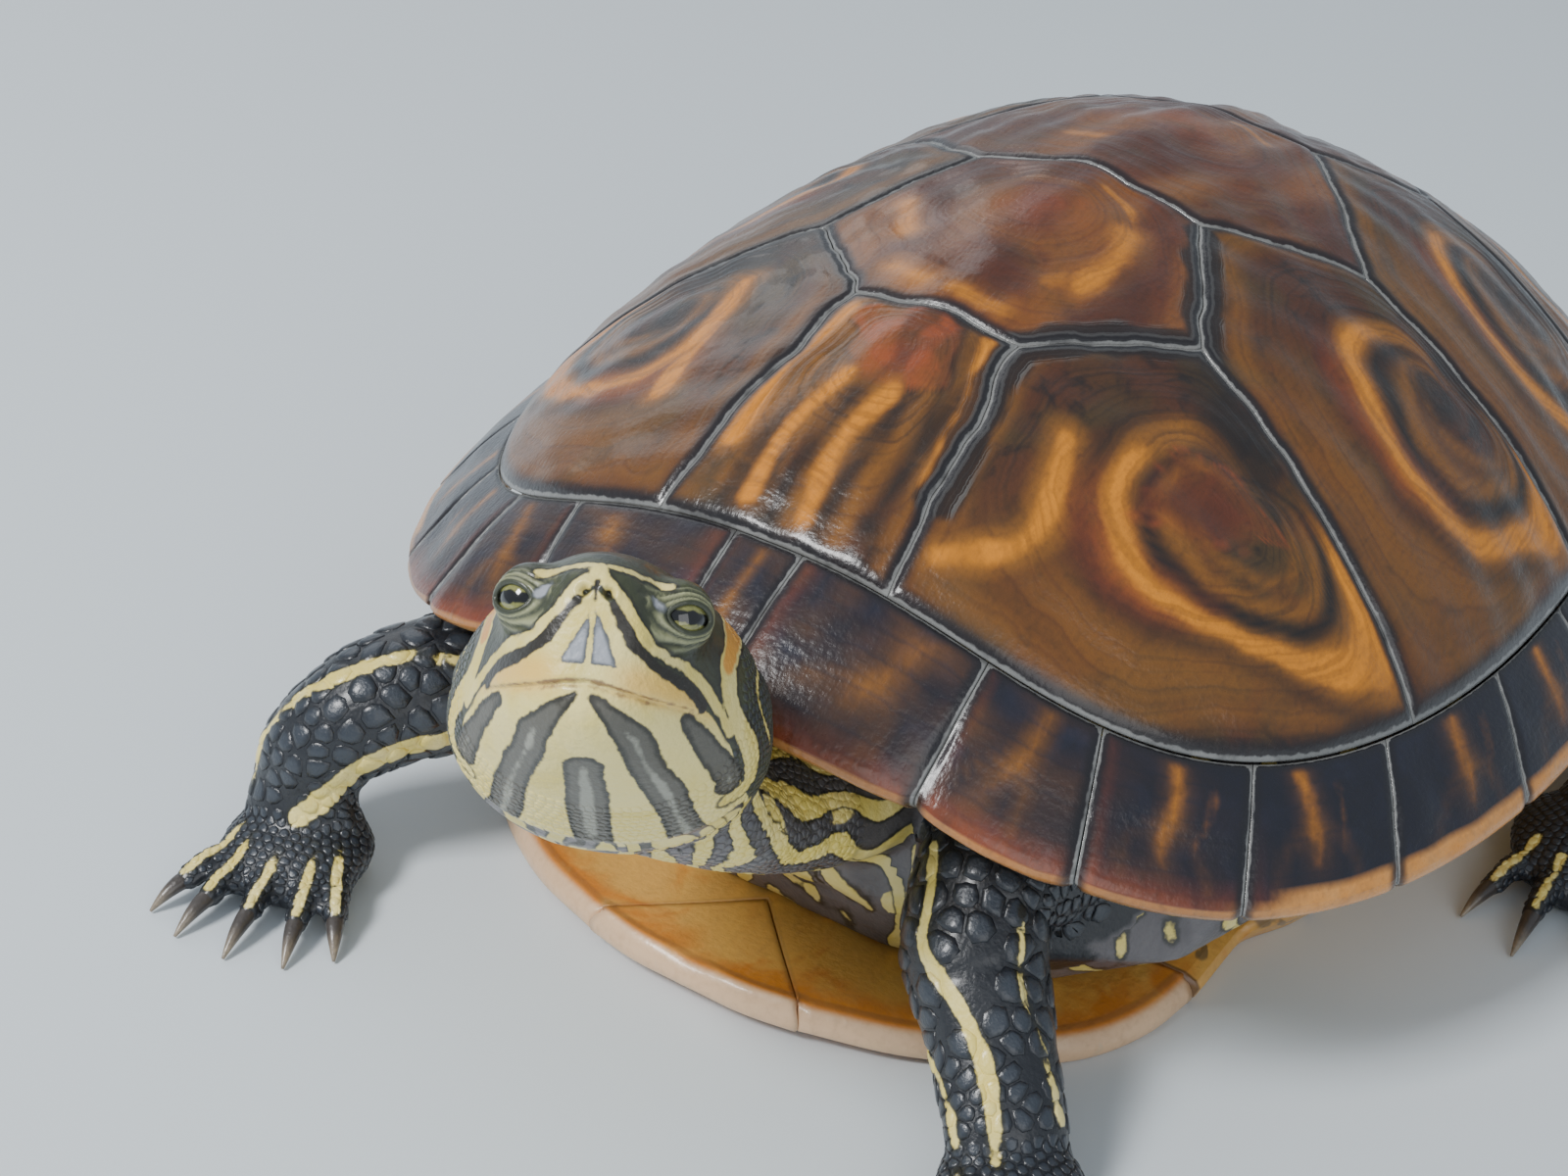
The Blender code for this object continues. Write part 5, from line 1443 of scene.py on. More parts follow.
def build_skin(skin, name):
    depth = skin.coat_depth / MM
    limb_tubes(depth)
    parts = [capped(rings) for rings, _ in LIMB_TUBES.values()]
    parts.append(capped(head_tube(depth)))
    for foot in FEET:
        parts += [capped(rings) for rings in foot_tubes(foot, depth)[0]]
    for side in (1.0, -1.0):
        parts.append(eye_ball("lid_ball", from_head(EYE * np.array((1.0, side, 1.0))), LID_RADIUS))
    made = swollen_trunk(name)
    join_to(made, parts)
    reshape(made, "One skin", "REMESH", mode="VOXEL", voxel_size=skin.voxel)
    place(made, smoothed(points_of(made), edges_of(made), skin.smoothing))
    thin_out_hidden(made)
    refine(made, (in_head(face_middles(made))[:, 0] > FINE_BACK).tolist())
    folded = folded_over(in_head(face_middles(made)))
    gap, _ = to_line(folded, MOUTH)
    by_eye = (lengths(folded - EYE) < FINE_EYE) & (folded[:, 1] > 6.0)
    refine(made, ((gap < FINE_MOUTH) | (lengths(folded - NOSTRIL) < FINE_NOSTRIL) | by_eye).tolist())
    points = sculpted(points_of(made), read(made.data.vertices, "normal", 3))
    points[:, 2] = np.maximum(points[:, 2], 0.0)
    along, outward = direction(*points[:, :2].T)
    under = ramp(-0.5, 1.5, points[:, 2] - between(RIM_Z, along)) * (outward < 0.95)
    points += into_shell(points) * (UNDER_SHELL * under)[:, None]
    place(made, points)
    join_to(made, lid_rims())
    return made


def thin_out_hidden(made):
    """Fewer faces where the trunk is out of sight inside the shell."""
    x, y, z = points_of(made).T
    hidden = (direction(x, y)[1] < HIDDEN_SHARE) & (z > HIDDEN_Z) & (np.abs(y) < HIDDEN_Y)
    hidden |= (z < HIDDEN_Z) & (np.abs(x) < HIDDEN_LOW_X) & (np.abs(y) < HIDDEN_LOW_Y)
    group = made.vertex_groups.new(name="hidden")
    group.add(np.flatnonzero(hidden).tolist(), 1.0, "REPLACE")
    reshape(made, "Fewer faces", "DECIMATE", ratio=0.35, vertex_group=group.name, vertex_group_factor=10.0)
    made.vertex_groups.clear()


# ---------------------------------------------------------------- the skin's markings

# Each stripe of the head: its colour's field, half its width at its start and at its end, and its places as
# (forward, left, up); both sides carry it.
HEAD_STRIPES = (
    ("pale", 0.45, 0.55, ((16.3, 0.9, 7.2), (15.5, 2.5, 6.9), (13.8, 4.6, 6.6), (13.0, 6.2, 6.0))),
    ("pale", 0.9, 0.5, ((17.3, 0.0, 5.9), (16.5, 0.0, 7.2))),
    ("pale", 0.65, 0.7, ((17.4, 0.9, 5.4), (17.2, 2.2, 4.2), (17.0, 3.5, 2.4), (16.0, 5.1, 0.6),
        (14.6, 6.6, -0.4), (11.6, 8.9, -1.2), (9.2, 10.3, -2.4), (6.2, 11.6, -4.4), (4.6, 13.0, -6.0))),
    ("dark", 0.45, 0.8, ((17.4, 1.7, 3.4), (17.1, 3.0, 1.6), (16.5, 4.5, -0.5), (14.3, 6.9, -1.9),
        (11.1, 9.0, -2.9), (9.0, 10.4, -4.2))),
    ("dark", 0.2, 0.25, ((17.4, 0.0, 5.3), (17.4, 0.0, 3.7))),
    # Painted reflection: a pale blue-grey spot at the front corner of each eye, in the lilac patches' colour.
    ("lilac", 0.6, 0.8, ((14.8, 5.0, 4.9), (14.2, 5.6, 3.9))),
    ("grey", 0.5, 1.75, ((17.0, 0.9, -5.3), (15.4, 3.1, -7.2), (12.8, 4.9, -8.8))),
    ("grey", 1.75, 2.0, ((12.8, 4.9, -8.8), (9.3, 5.9, -10.6), (5.3, 7.3, -12.3), (1.5, 8.3, -14.0),
        (-2.8, 9.0, -15.3), (-12.0, 11.0, -17.0))),
    ("grey", 0.9, 1.7, ((10.6, 9.3, -5.9), (8.1, 10.3, -7.0), (5.0, 11.7, -8.7), (2.2, 12.9, -9.9),
        (0.9, 13.2, -10.6))),
    ("grey", 2.1, 2.3, ((10.3, 0.0, -11.7), (6.0, 0.0, -13.5), (0.0, 0.0, -16.0), (-12.0, 0.0, -18.0))),
    ("amber", 1.75, 1.15, ((-1.0, 10.9, 5.9), (0.8, 11.7, 4.6), (3.2, 11.9, 2.8), (5.4, 12.0, 0.4))),
    ("pale", 1.4, 1.0, ((5.4, 12.0, 0.4), (5.4, 12.6, -2.5), (3.8, 13.7, -4.8), (0.6, 15.0, -7.4),
        (-2.0, 14.9, -10.2), (-1.6, 13.1, -12.3))),
    ("pale", 0.35, 0.35, ((-3.4, 14.0, 1.8), (0.0, 14.7, -0.6), (0.1, 15.3, -2.6), (-4.0, 16.0, -6.0))),
    ("pale", 0.45, 0.45, ((3.0, 9.6, 8.2), (-1.0, 11.2, 6.6), (-6.0, 13.0, 4.2), (-12.0, 14.0, 2.0))),
    ("pale", 0.22, 0.22, ((8.0, 3.0, 9.0), (0.0, 4.0, 9.4), (-12.0, 4.6, 6.5))),
)
LILAC_PATCH = ((0.30, 2.4), (0.28, -2.3), (2.8, -2.4))  # left and up, over the beak
# Level below which the head is cream, by distance from its middle.
CREAM_L = (0.0, 2.2, 4.4, 7.2, 9.4, 11.4, 13.0, 14.2, 15.5)
CREAM_U = (4.6, 2.9, -0.6, -2.3, -3.4, -5.2, -7.5, -10.5, -13.0)

# Stripes of legs and tail: field, half width, and places, either on the skin itself or as (share of the way
# along, angle round the limb).
LIMB_STRIPES = {
    "foreleg_left": (
        ("pale", 0.85, ((24.5, -84.0, 28.0), (27.0, -89.0, 25.5), (28.7, -92.4, 22.2), (32.5, -94.4, 20.2),
            (36.7, -96.0, 18.1), (41.4, -98.6, 14.3), (45.5, -103.0, 8.5))),
        ("pale", 0.55, ((30.0, -92.0, 13.0), (33.0, -96.6, 11.7), (36.9, -100.1, 11.5),
            (41.0, -103.0, 8.0))),
        ("pale", 0.45, ((36.0, -84.5, 26.0), (40.5, -90.4, 20.3), (43.5, -91.5, 17.0),
            (49.0, -95.0, 10.0))),
    ),
    "foreleg_right": (
        ("pale", 0.95, ((-36.0, -87.0, 27.5), (-43.5, -91.4, 28.1), (-49.2, -97.3, 26.2),
            (-54.8, -100.0, 20.8), (-58.5, -103.0, 14.0), (-59.0, -106.0, 9.0))),
        ("pale", 1.45, ((-33.0, -87.0, 19.5), (-41.5, -97.5, 18.3), (-46.4, -102.6, 13.2),
            (-49.8, -105.1, 9.5))),
    ),
    "hindleg_left": (
        ("pale", 0.6, ((0.2, 100), (0.6, 110), (1.0, 100))),
        ("pale", 0.5, ((0.2, 40), (0.6, 30), (1.0, 40))),
    ),
    "hindleg_right": (
        ("pale", 0.6, ((0.2, 80), (0.6, 70), (1.0, 80))),
        ("pale", 0.5, ((0.2, 140), (0.6, 150), (1.0, 140))),
    ),
    "tail": (
        ("pale", 0.5, ((0.1, 60), (1.0, 60))),
        ("pale", 0.5, ((0.1, 120), (1.0, 120))),
        ("pale", 0.4, ((0.1, 0), (1.0, 0))),
        ("pale", 0.4, ((0.1, 180), (1.0, 180))),
    ),
}
FIELDS = ("cream", "pale", "amber", "grey", "dark", "lilac", "mouth")
SHARES = ("pocket", "olive", "lid", "crease", "warm")
FAR = -9.0


def on_tube(rings, places):
    """Points on a tube's surface from (share along, degrees round)."""
    sides = rings.shape[1]
    found = []
    for along, degrees in curve_through(places, 6) if len(places) > 2 else places:
        row = min(max(along, 0.0), 1.0) * (len(rings) - 1)
        column = (degrees / 360.0 * sides - 0.5) % sides
        r, c = int(min(row, len(rings) - 2)), int(column)
        a, b = row - r, column - c
        near, far = (rings[row_, c] * (1 - b) + rings[row_, (c + 1) % sides] * b for row_ in (r, r + 1))
        found.append(near * (1 - a) + far * a)
    return np.array(found)


def round_limb(points, limb):
    """How far along a limb each point is, its angle round it in degrees, and how far from its middle."""
    rings, line = LIMB_TUBES[limb]
    gap, along = to_line(points, line)
    row = np.clip((along * (len(line) - 1)).round().astype(int), 0, len(line) - 1)
    sides = rings.shape[1]
    right = unit(rings[row, 0] + rings[row, sides - 1] - 2 * line[row])
    up = unit(rings[row, sides // 4] + rings[row, sides // 4 - 1] - 2 * line[row])
    away = points - line[row]
    return along, np.degrees(np.arctan2((away * up).sum(1), (away * right).sum(1))), gap


def head_marks(points, found):
    local = in_head(points)
    folded = folded_over(local)
    shift = waves(points, 6.0, 41) * 0.22
    for name, first, last, places in HEAD_STRIPES:
        gap, along = to_line(folded, curve_through(places, 4) if len(places) > 2 else places)
        found[name] = np.maximum(found[name], first + (last - first) * along + shift * 0.6 - gap)
    in_front = np.where(local[:, 0] > 15.0, 0.0, FAR)
    found["lilac"] = np.maximum(found["lilac"], in_plan(folded[:, 1:], LILAC_PATCH) + shift * 0.4 + in_front)
    found["cream"] = np.interp(folded[:, 1], CREAM_L, CREAM_U) + shift - folded[:, 2]
    gap, along = to_line(folded, MOUTH)
    found["mouth"] = 0.46 - 0.16 * along - gap
    measure, gone = lid_measure(folded)
    facing = ((folded - EYE) @ GAZE > 0) & (gone < 5.6)
    found["lid"] = ramp(4.2, 2.8, measure) * facing
    found["lid"] *= ramp(0.3, -0.2, found["lilac"])
    found["crease"] = found["lid"] * (0.5 + 0.5 * np.cos(np.sqrt(measure) * 17.0)) * ramp(1.0, 1.3, measure)
    found["olive"] = np.ones(len(points))
    found["warm"] = ramp(0.8, 5.0, folded[:, 1]) * band(folded[:, 2], -3.4, 1.6, 1.4)
    return found


def neck_marks(points, found):
    """Wavy yellow stripes on dark grey, about 5 mm apart; a pale belly side with grey fine lines."""
    along, angle, _ = round_limb(points, "neck")
    wave = waves(points, 12.0, 51)
    lines = np.sin(np.radians(angle * 19) + wave * 2.2 + along * 6.0)
    below = ramp(-15.0, -60.0, np.degrees(np.arcsin(np.sin(np.radians(angle)))))
    found["pale"] = lines * 0.9 - 0.15 + 0.55 * waves(points, 7.0, 53) * below
    found["cream"] = (waves(points, 9.0, 54) - 0.35) * 2.5 - 2.0 * (1 - below)
    fine = np.sin(np.radians(angle * 31) + 2.0 * waves(points, 8.0, 52)) * 0.5 - 0.1
    found["grey"] = fine * below - 1.5 * (1 - below)
    found["olive"] = np.full(len(points), 0.3)
    found["pocket"] = 0.40 + 0.55 * below


def limb_marks(points, limb, found):
    shift = waves(points, 5.0, 43) * 0.2
    for name, half, places in LIMB_STRIPES[limb]:
        line = curve_through(places, 5) if len(places[0]) == 3 else on_tube(LIMB_TUBES[limb][0], places)
        gap, _ = to_line(points, line)
        found[name] = np.maximum(found[name], half + shift - gap)


TOE_STRIPE = ((9.0, 3.6), (4.0, 2.6), (0.0, 1.6))  # back from the claw and up


def toe_marks(points, foot, found):
    """A stripe along the top of each toe."""
    for start, way, _ in foot_tubes(foot, 0.0)[1]:
        gap, _ = to_line(points, [start - way * back + (0, 0, up) for back, up in TOE_STRIPE])
        found["pale"] = np.maximum(found["pale"], 0.62 - gap)


def nearest_limb(points):
    """The name of the limb that each point belongs to, the head and the trunk among them."""
    names = list(LIMB_TUBES)
    reach = np.empty((len(points), len(names)))
    for k, name in enumerate(names):
        rings, line = LIMB_TUBES[name]
        gap, along = to_line(points, line)
        row = np.clip((along * (len(line) - 1)).astype(int), 0, len(line) - 1)
        radius = np.linalg.norm(rings - line[:, None], axis=2).max(axis=1)[row]
        reach[:, k] = gap / radius
        if name in FEET:
            palm, _, half_width, size = FEET[name]
            reach[:, k] = np.minimum(reach[:, k], lengths(points - palm) / (half_width + size + 6.0))
    best = reach.argmin(axis=1)
    owner = np.array(names, object)[best]
    owner[reach.min(axis=1) > 1.3] = "trunk"
    local = in_head(points)
    owner[local[:, 0] > -10.0 + 6.0 * ramp(-9.0, -13.0, local[:, 2])] = "head"
    owner[(points[:, 1] > -80) & (owner == "neck")] = "trunk"
    return owner


def marks(points, owner=None):
    """The markings' fields for points of skin or scales: mm inside each colour's edge, then shares."""
    owner = nearest_limb(points) if owner is None else np.full(len(points), owner, object)
    total = {name: np.full(len(points), FAR) for name in FIELDS}
    total.update({name: np.zeros(len(points)) for name in SHARES})
    for name in set(owner):
        mine = np.flatnonzero(owner == name)
        here = points[mine]
        found = {name_: np.full(len(mine), FAR) for name_ in FIELDS}
        if name == "head":
            head_marks(here, found)
        elif name == "neck":
            neck_marks(here, found)
        elif name == "trunk":
            found["pocket"] = np.full(len(mine), 0.62)
            found["pale"] = waves(here * np.array((1.0, 0.6, 0.8)), 4.6, 61) * 1.5 - 0.65
        else:
            limb_marks(here, name, found)
            if name in FEET:
                toe_marks(here, name, found)
        found["pale"] = np.maximum(found["pale"], found["amber"])
        for name_, values in found.items():
            total[name_][mine] = values
    return total


LIVING_DARK, GREY_EDGE, GREY_MIDDLE = (0.018, 0.018, 0.013), (0.030, 0.028, 0.020), (0.46, 0.46, 0.38)
# The first colour here edges both the lilac patches and the painted reflection in front of each eye.
LILAC_AND_REFLECTION_EDGE, LID_CREASE, LIP = (0.10, 0.11, 0.12), (0.036, 0.042, 0.024), (0.20, 0.085, 0.060)
POCKET_DARK, DARK_STRIPE, SKIN_DIRT = (0.050, 0.045, 0.052), (0.022, 0.018, 0.012), (0.02, 0.02, 0.015)


def striped_skin(name, skin, roughness, depth, fineness, scaly=False):
    """Skin or scales: dark and cream grounds, grey bands with dark edges, yellow and amber stripes."""
    material, p = start_finish(name, roughness, 0.35, 0.16)
    height, tone = p.grain(fineness, 0.3)
    ragged = p.stray(1.1, 3.0, 0.7)

    def inside(name_, low=-0.14, high=0.14):
        return p.ease(p.plus(p.field(name_), ragged), low, high)

    drift = p.cloud(7.0, 3.0, 0.6)
    p.colour = p.mix(p.times(p.field("olive"), p.ease(drift, 0.3, 0.65, 0.35, 1.0)), skin.dark, skin.olive)
    if scaly:
        # Painted highlight: each scale's crown is lightened towards the blue-grey, most at its middle and
        # fading to its edge.
        p.lay(p.ease(p.field("out"), 0.35, 0.95, 0.75, 0.0), skin.scale_highlight)
    p.lay(p.field("pocket"), p.mix(drift, POCKET_DARK, skin.pocket))
    cream = p.mix(p.ease(drift, 0.4, 0.75), skin.cream, skin.pale)
    p.lay(inside("cream"), p.mix(p.times(p.field("warm"), 0.75), cream, skin.warm))
    grey = p.plus(p.field("grey"), ragged)
    band_ = p.mix(p.ease(grey, 0.25, 0.75), GREY_EDGE, skin.grey)
    p.lay(inside("grey"), p.mix(p.ease(grey, 1.30, 1.75, 0.0, 0.6), band_, GREY_MIDDLE))
    # The lilac patches under the nostrils, and a painted reflection in front of each eye.
    p.lay(inside("lilac", -0.1, 0.1), p.mix(p.ease(p.field("lilac"), 0.05, 0.45), LILAC_AND_REFLECTION_EDGE, skin.lilac))
    p.lay(p.times(p.field("lid"), 0.85), p.mix(p.field("crease"), LID_CREASE, skin.lid))
    p.lay(p.ease(p.plus(p.field("pale"), ragged), -0.6, -0.15, 0.0, 0.85), LIVING_DARK)
    p.lay(inside("pale"), p.mix(p.ease(drift, 0.35, 0.65), skin.pale, skin.cream))
    p.lay(inside("amber", 0.0, 0.5), skin.amber)
    p.lay(inside("dark"), DARK_STRIPE)
    p.lay(p.times(inside("mouth"), 0.8), LIP)
    p.lay(p.ease(tone, 0.45, 0.85, 0.0, 0.30), SKIN_DIRT)
    p.finish(p.plus(roughness - 0.1, p.times(tone, 0.25)), height, depth)
    return material


# ---------------------------------------------------------------- operators

class MakeCarapace(Operator):
    """Horn plates of the dome, with growth rings and banded colours"""
    bl_idname = "turtle.carapace"
    bl_label = "Dome plates"

    def execute(self, context):
        shell = context.scene.turtle_shell
        finish = horn_finish(shell)
        for number in range(1, 6):
            name = f"vertebral_{number}"
            made = dome_plate(name, vertebral_outline(number), VERTEBRAL_AREOLAE[number], shell, finish)
            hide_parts(name)
        for number in range(1, 5):
            for side, across in (("left", 1.0), ("right", -1.0)):
                name, mirror = f"costal_{side}_{number}", np.array((across, 1.0))
                outline = (costal_outline(number) * mirror)[::int(across)]
                made = dome_plate(name, outline, COSTAL_AREOLAE[number] * mirror, shell, finish)
                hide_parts(name)
        return {"FINISHED"}


class MakeMarginals(Operator):
    """Nuchal and marginal plates round the rim"""
    bl_idname = "turtle.marginals"
    bl_label = "Rim plates"

    def execute(self, context):
        shell = context.scene.turtle_shell
        finish = bpy.data.materials["Turtle carapace horn"]
        made = marginal_plate("nuchal", -NUCHAL_ANGLE, NUCHAL_ANGLE, (-RIM_LEANS[0], RIM_LEANS[0]),
                              RIM_REACHES[:1] * 2, 1, 0.0, shell, finish)
        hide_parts("nuchal")
        for number in range(1, 13):
            start, end = MARGINAL_ANGLES[number - 1:number + 1]
            for side, across in (("left", 1), ("right", -1)):
                name = f"marginal_{side}_{number}"
                made = marginal_plate(name, start, end, RIM_LEANS[number - 1:number + 1],
                                      RIM_REACHES[number - 1:number + 1], across,
                                      SERRATION if number > 7 or number < 3 else 0.0, shell, finish)
                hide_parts(name)
        return {"FINISHED"}


class MakePlastron(Operator):
    """Plates of the plastron and its bridges"""
    bl_idname = "turtle.plastron"
    bl_label = "Plastron"

    def execute(self, context):
        finish = plastron_finish(context.scene.turtle_plastron)
        for name in ("gular", "humeral", "pectoral", "abdominal", "femoral", "anal"):
            if name in LOBES:
                made = lobe_plate("horn_" + name, *LOBES[name], finish)
            else:
                made = belly_plate("horn_" + name, *BELLIES[name], finish)
            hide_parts("plastron_" + name)
        return {"FINISHED"}


class MakeSkin(Operator):
    """One striped skin over head, neck, trunk, legs and tail"""
    bl_idname = "turtle.skin"
    bl_label = "Skin"

    def execute(self, context):
        skin = context.scene.turtle_skin
        made = build_skin(skin, "striped_skin")
        finish = striped_skin("Turtle skin", skin, 0.42, 0.16, 1500.0)
        dress(made, finish, marks(points_of(made)))
        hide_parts(*FLESH)
        return {"FINISHED"}


EYE_RING, EYE_RING_AT, PUPIL_AT = (0.05, 0.05, 0.03), (2.25, 2.6), (0.75, 0.95)


def iris_finish(eyes):
    """Eye: yellow-green iris round a black pupil, a dark bar across both, and a wet surface."""
    material, p = start_finish("Turtle eye", 0.12, 1.0, 0.03)
    away = p.plus(p.field("away"), p.times(p.cloud(0.8, 2.0), 0.25))
    level = p.plus(p.field("level"), p.stray(0.7, 3.0, 0.35))
    rays, half = p.cloud(0.35, 2.0, 0.5), eyes.bar / MM
    p.colour = p.mix(rays, eyes.iris, dimmed(eyes.iris, 0.35))
    p.lay(p.ease(away, *EYE_RING_AT), EYE_RING)
    p.lay(p.ease(p.work("ABSOLUTE", level), half * 0.75, half * 1.2, 1.0, 0.0), eyes.pupil)
    p.lay(p.ease(away, *PUPIL_AT, 1.0, 0.0), eyes.pupil)
    p.finish(p.plus(0.08, p.times(rays, 0.08)))
    return material


CORNEA_HEIGHT, CORNEA_RADIUS = 0.18, 1.9


class MakeEyes(Operator):
    """Eyeballs with iris, pupil and the dark bar through both"""
    bl_idname = "turtle.eyes"
    bl_label = "Eyes"

    def execute(self, context):
        eyes = context.scene.turtle_eyes
        finish = iris_finish(eyes)
        for name, side in (("eye_left", 1.0), ("eye_right", -1.0)):
            mirror = np.array((1.0, side, 1.0))
            centre = from_head(EYE * mirror)
            made = eye_ball("ball_" + name, centre, eyes.radius / MM)
            gaze = (GAZE * mirror) @ HEAD_AXES
            away = points_of(made) - centre
            ahead = away @ gaze
            level = away @ unit(HEAD_AXES[2] - gaze * (HEAD_AXES[2] @ gaze))
            aside = np.sqrt(np.maximum((away ** 2).sum(1) - ahead ** 2, 0.0))
            bulge = CORNEA_HEIGHT * bump(aside, CORNEA_RADIUS, 4) * (ahead > 0)
            place(made, points_of(made) + np.outer(bulge, gaze))
            dress(made, finish, {"away": np.where(ahead > 0, aside, 9.0), "level": level})
            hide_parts(name)
        return {"FINISHED"}


# Stations of a claw: share of its length, share of the way down to its tip, and radius in toe radii.
CLAW_STATIONS = ((-0.12, -0.05, 0.50), (0.08, 0.0, 0.56), (0.3, 0.12, 0.50), (0.55, 0.36, 0.38),
    (0.8, 0.70, 0.22), (0.97, 0.97, 0.09))
CLAW_TIP_Z, CLAW_FLATNESS, CLAW_DIRT = 0.3, 0.92, (0.03, 0.025, 0.02)


def claw_finish(claws):
    material, p = start_finish("Turtle claw horn", 0.3, 0.4, 0.12)
    height, tone = p.grain(2200.0, 0.9)
    p.colour = p.mix(p.ease(p.field("reach"), 0.35, 0.95), claws.base, claws.tip)
    p.lay(p.ease(tone, 0.4, 0.8, 0.0, 0.4), CLAW_DIRT)
    p.finish(p.plus(0.2, p.times(tone, 0.3)), height, 0.08)
    return material


class MakeClaws(Operator):
    """Curved claws at the ends of the toes"""
    bl_idname = "turtle.claws"
    bl_label = "Claws"

    def execute(self, context):
        finish = claw_finish(context.scene.turtle_claws)
        for foot in FEET:
            for number, (root, way, size) in enumerate(foot_tubes(foot, 0.0)[1], 1):
                stations = []
                for along, drop, radius in CLAW_STATIONS:
                    spot = root + way * size * along
                    spot[2] = root[2] + (CLAW_TIP_Z - root[2]) * drop
                    stations.append((spot, TOE_RADIUS * radius, TOE_RADIUS * radius * CLAW_FLATNESS))
                made = capped(tube_through(stations, 0.0, 16, 4), f"claw_{foot}_{number}")
                close_up(made)
                dress(made, finish, {"reach": ((points_of(made) - root) @ way) / size})
        return {"FINISHED"}


# ---------------------------------------------------------------- scales

SCALE_SIDES, NEIGHBOURS = 9, 10
# Rings of a scale from its edge to its crown: share of the way out, and height as a share of the scale's own.
SCALE_RINGS = ((0.985, -0.55), (0.84, 0.62), (0.5, 0.98))


ROW_STEP, ALONG_STRAY, ROUND_STRAY = 0.80, 0.12, 0.16  # shares of a scale's size
OFF_SKIN, NEAR_FLOOR = 0.0011, 0.0003


class Roots:
    """Where scales sit: places on the skin, the way they lie, and each one's size and height."""

    def __init__(self, draw):
        self.draw, self.found = draw, []

    def add_rows(self, rings, size_at, first=0.0, last=1.0, broad=1.25, high=1.0):
        """Rows of roots round a tube, each row shifted by half a scale."""
        line = rings.mean(axis=1)
        passed, way = passed_at(line), unit(np.gradient(line, axis=0))
        gone, row = passed[-1] * first, 0
        while gone < passed[-1] * last:
            size = size_at(gone / passed[-1])
            at = float(np.interp(gone, passed, np.arange(len(line))))
            r = min(int(at), len(line) - 2)
            ring = rings[r] + (rings[r + 1] - rings[r]) * (at - r)
            closed = np.vstack((ring, ring[:1]))
            round_it = passed_at(closed)
            count = max(5, round(round_it[-1] / (size * broad)))
            for k in range(count):
                step = k + 0.5 * (row % 2) + self.draw.uniform(-ROUND_STRAY, ROUND_STRAY)
                spot = step % count / count * round_it[-1]
                point = np.array([np.interp(spot, round_it, column) for column in closed.T])
                place_ = point + way[r] * self.draw.uniform(-ALONG_STRAY, ALONG_STRAY) * size
                self.found.append((place_, way[r], size, high))
            gone += size * ROW_STEP
            row += 1

    def settle(self, tree, keep):
        """Brings the roots to the skin and drops those that lie off it; keep says which of the rest stay."""
        settled = []
        for place_, lie, size, high in self.found:
            spot, normal, _, gap = tree.find_nearest(Vector(place_ * MM))
            if gap < OFF_SKIN and spot.z > NEAR_FLOOR:
                settled.append((*(np.array(spot) / MM), *normal, *lie, size, high))
        settled = np.array(settled)
        return settled[keep(settled[:, :3])]


def scale_mesh(roots, tree, height_share):
    """Domed scales that fill the space between their neighbours: points, faces, and how far out and in which
    direction each point lies in its scale."""
    place_, normal, lie = roots[:, :3], unit(roots[:, 3:6]), roots[:, 6:9]
    size, high = roots[:, 9], roots[:, 10]
    nearest = near_tree(place_)
    along = unit(lie - normal * (lie * normal).sum(1)[:, None])
    across = np.cross(normal, along)
    others = np.array([[found[1] for found in nearest.find_n(point, NEIGHBOURS + 1)][1:] for point in place_])
    away = place_[others] - place_[:, None]
    flat = np.stack(((away * across[:, None]).sum(2), (away * along[:, None]).sum(2)), axis=2)
    turns = turns_of(SCALE_SIDES)
    looks = np.column_stack((np.cos(turns), np.sin(turns)))
    toward = flat @ looks.T
    half = ((flat ** 2).sum(2) / 2)[:, :, None] / np.maximum(toward, 1e-6)
    reach = np.minimum(np.where(toward > 1e-6, half, np.inf).min(axis=1), size[:, None])
    rise = (size * height_share * high)[:, None]
    count, rings = len(place_), len(SCALE_RINGS)
    edge = place_[:, None] + (reach[:, :, None] * (across[:, None] * looks[:, 0, None] + along[:, None]
                                                   * looks[:, 1, None]))
    landed = np.array([tree.find_nearest(Vector(point * MM))[0] for point in edge.reshape(-1, 3)]) / MM
    bend = landed.reshape(count, SCALE_SIDES, 3) - edge
    points = np.empty((count, rings * SCALE_SIDES + 1, 3))
    shares = np.empty((count, rings * SCALE_SIDES + 1))
    for k, (out, tall) in enumerate(SCALE_RINGS):
        lifted = rise * (tall + 0.35 * max(tall, 0.0) * looks[None, :, 1] * out)
        mine = slice(k * SCALE_SIDES, (k + 1) * SCALE_SIDES)
        points[:, mine] = (place_[:, None] + (edge - place_[:, None]) * out + bend * out ** 2
                           + normal[:, None] * lifted[:, :, None])
        shares[:, mine] = out
    points[:, -1] = place_ + normal * rise * 1.05
    shares[:, -1] = 0.0
    step = rings * SCALE_SIDES + 1
    one = grid_faces(rings, SCALE_SIDES) + fan_faces(step - 1 - SCALE_SIDES, SCALE_SIDES, step - 1)
    one.append(tuple(reversed(range(SCALE_SIDES))))
    faces = [tuple(k * step + corner for corner in face) for k in range(count) for face in one]
    spin = np.vstack([looks] * rings + [np.zeros((1, 2))])
    return points.reshape(-1, 3), faces, shares.ravel(), np.tile(spin, (count, 1))


FLAT_RATIO, FLAT_ANGLE, FLAT_MARGIN = 0.06, 66, 0.004


